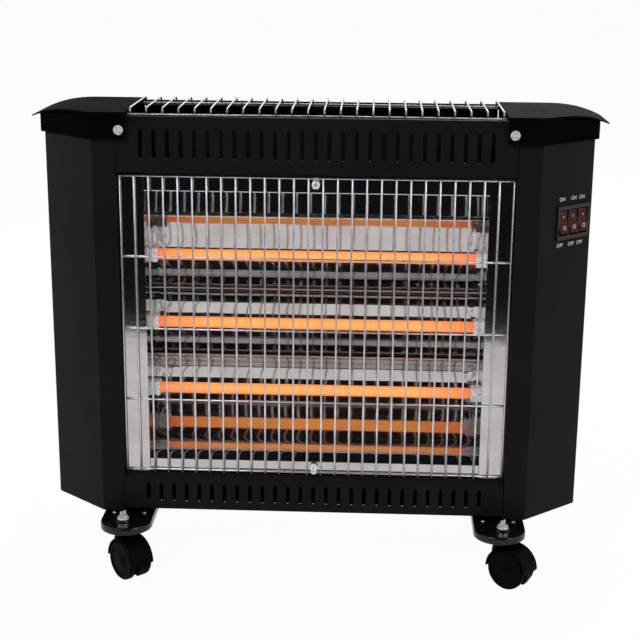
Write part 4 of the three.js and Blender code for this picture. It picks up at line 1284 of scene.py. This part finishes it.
def floor_material():
    """Pale floor whose shadows stay, lifted to white for what looks straight at it."""
    material = bpy.data.materials.new("floor")
    material.use_nodes = True
    nodes = material.node_tree.nodes
    bsdf = nodes["Principled BSDF"]
    bsdf.inputs["Base Color"].default_value = (0.86, 0.86, 0.86, 1)
    bsdf.inputs["Roughness"].default_value = 0.9
    bsdf.inputs["Specular IOR Level"].default_value = 0.0
    glow = nodes.new("ShaderNodeEmission")
    glow.inputs["Strength"].default_value = 1.0
    rays = nodes.new("ShaderNodeLightPath")
    seen = nodes.new("ShaderNodeMath")
    seen.operation = "MAXIMUM"
    link(material, rays.outputs["Is Camera Ray"], seen.inputs[0])
    link(material, rays.outputs["Is Glossy Ray"], seen.inputs[1])
    seen_through = nodes.new("ShaderNodeMath")
    seen_through.operation = "MAXIMUM"
    link(material, seen.outputs["Value"], seen_through.inputs[0])
    link(material, rays.outputs["Is Transmission Ray"], seen_through.inputs[1])
    share = nodes.new("ShaderNodeMath")
    share.operation = "MULTIPLY"
    share.inputs[1].default_value = 0.95
    link(material, seen_through.outputs["Value"], share.inputs[0])
    mix = nodes.new("ShaderNodeMixShader")
    link(material, share.outputs["Value"], mix.inputs["Fac"])
    link(material, bsdf.outputs["BSDF"], mix.inputs[1])
    link(material, glow.outputs["Emission"], mix.inputs[2])
    link(material, mix.outputs["Shader"], nodes["Material Output"].inputs["Surface"])
    return material


def flat_emission(name, color, strength):
    material = bpy.data.materials.new(name)
    material.use_nodes = True
    nodes = material.node_tree.nodes
    nodes.clear()
    glow = nodes.new("ShaderNodeEmission")
    glow.inputs["Color"].default_value = (*color, 1)
    glow.inputs["Strength"].default_value = strength
    out = nodes.new("ShaderNodeOutputMaterial")
    link(material, glow.outputs["Emission"], out.inputs["Surface"])
    return material


def build_world():
    world = bpy.data.worlds.new("studio")
    bpy.context.scene.world = world
    world.use_nodes = True
    tree = world.node_tree
    nodes = tree.nodes
    dim = nodes["Background"]
    dim.inputs["Color"].default_value = (0.9, 0.95, 1.0, 1)
    dim.inputs["Strength"].default_value = 0.35
    white = nodes.new("ShaderNodeBackground")
    white.inputs["Color"].default_value = (1, 1, 1, 1)
    white.inputs["Strength"].default_value = 1.0
    rays = nodes.new("ShaderNodeLightPath")
    seen = nodes.new("ShaderNodeMath")
    seen.operation = "MAXIMUM"
    tree.links.new(rays.outputs["Is Camera Ray"], seen.inputs[0])
    tree.links.new(rays.outputs["Is Glossy Ray"], seen.inputs[1])
    through = nodes.new("ShaderNodeMath")
    through.operation = "MAXIMUM"
    tree.links.new(seen.outputs["Value"], through.inputs[0])
    tree.links.new(rays.outputs["Is Transmission Ray"], through.inputs[1])
    mix = nodes.new("ShaderNodeMixShader")
    tree.links.new(through.outputs["Value"], mix.inputs["Fac"])
    tree.links.new(dim.outputs["Background"], mix.inputs[1])
    tree.links.new(white.outputs["Background"], mix.inputs[2])
    tree.links.new(mix.outputs["Shader"], nodes["World Output"].inputs["Surface"])


def area_light(name, place_at, target, size, power, color=(1, 1, 1)):
    light = bpy.data.lights.new(name, "AREA")
    light.shape = "RECTANGLE"
    light.size, light.size_y = size
    light.energy = power
    light.color = color
    obj = bpy.data.objects.new(name, light)
    obj.location = place_at
    direction = Vector(target) - Vector(place_at)
    obj.rotation_mode = "QUATERNION"
    obj.rotation_quaternion = direction.to_track_quat("-Z", "Y")
    obj.visible_camera = False
    bpy.context.scene.collection.objects.link(obj)
    return obj


def build_stage():
    reach = 30
    corners = [(-reach, -reach), (reach, -reach), (reach, reach), (-reach, reach)]
    staged("floor", [(x, y, 0) for x, y in corners], floor_material())
    dark = flat_emission("dark_flag", (0.9, 0.95, 1.0), 0.012)
    near, far, wide, high = -1.03, -6.0, 7.0, 6.0
    staged(
        "flag_floor",
        [(-wide, near, 0.004), (wide, near + 0.12, 0.004), (wide, far, 0.004), (-wide, far, 0.004)], dark,
        True
    )
    staged("flag_wall", [(-wide, far, 0), (wide, far, 0), (wide, far, high), (-wide, far, high)], dark, True)
    staged(
        "flag_roof", [(-wide, far, high), (wide, far, high), (wide, 0.4, high), (-wide, 0.4, high)], dark,
        True
    )
    build_world()
    target = (0, 0, 0.28)
    area_light("key", (-1.9, -2.2, 2.6), target, (1.6, 1.2), 60)
    area_light("fill", (2.2, -1.9, 1.9), target, (1.4, 1.4), 34)
    area_light("top", (0, 0.5, 3.0), target, (2.4, 1.6), 45)
    area_light("rear", (0.6, 2.6, 1.8), target, (2.0, 1.4), 34)


def build_camera():
    data = bpy.data.cameras.new("photo")
    data.sensor_width = 36
    focal_pixels, image_width = 1400.05, 640
    data.lens = data.sensor_width * focal_pixels / image_width
    camera = bpy.data.objects.new("photo", data)
    right = Vector((0.9991, 0.0417, 0.0086)).normalized()
    forward = Vector((-0.0379, 0.963, -0.267)).normalized()
    up = right.cross(forward).normalized()
    right = forward.cross(up).normalized()
    rotation = Matrix((right, up, -forward)).transposed().to_4x4()
    camera.matrix_world = Matrix.Translation((0.06319, -1.51694, 0.69471)) @ rotation
    bpy.context.scene.collection.objects.link(camera)
    bpy.context.scene.camera = camera


build_camera()
build_housings()
build_fascias()
build_shade_screens()
build_back()
build_caps()
build_guard()
build_grille()
build_reflector()
build_trims()
build_elements()
build_switches()
build_feet()
dress_inner_nodes()
build_stage()

bpy.context.scene.view_settings.view_transform = "Standard"
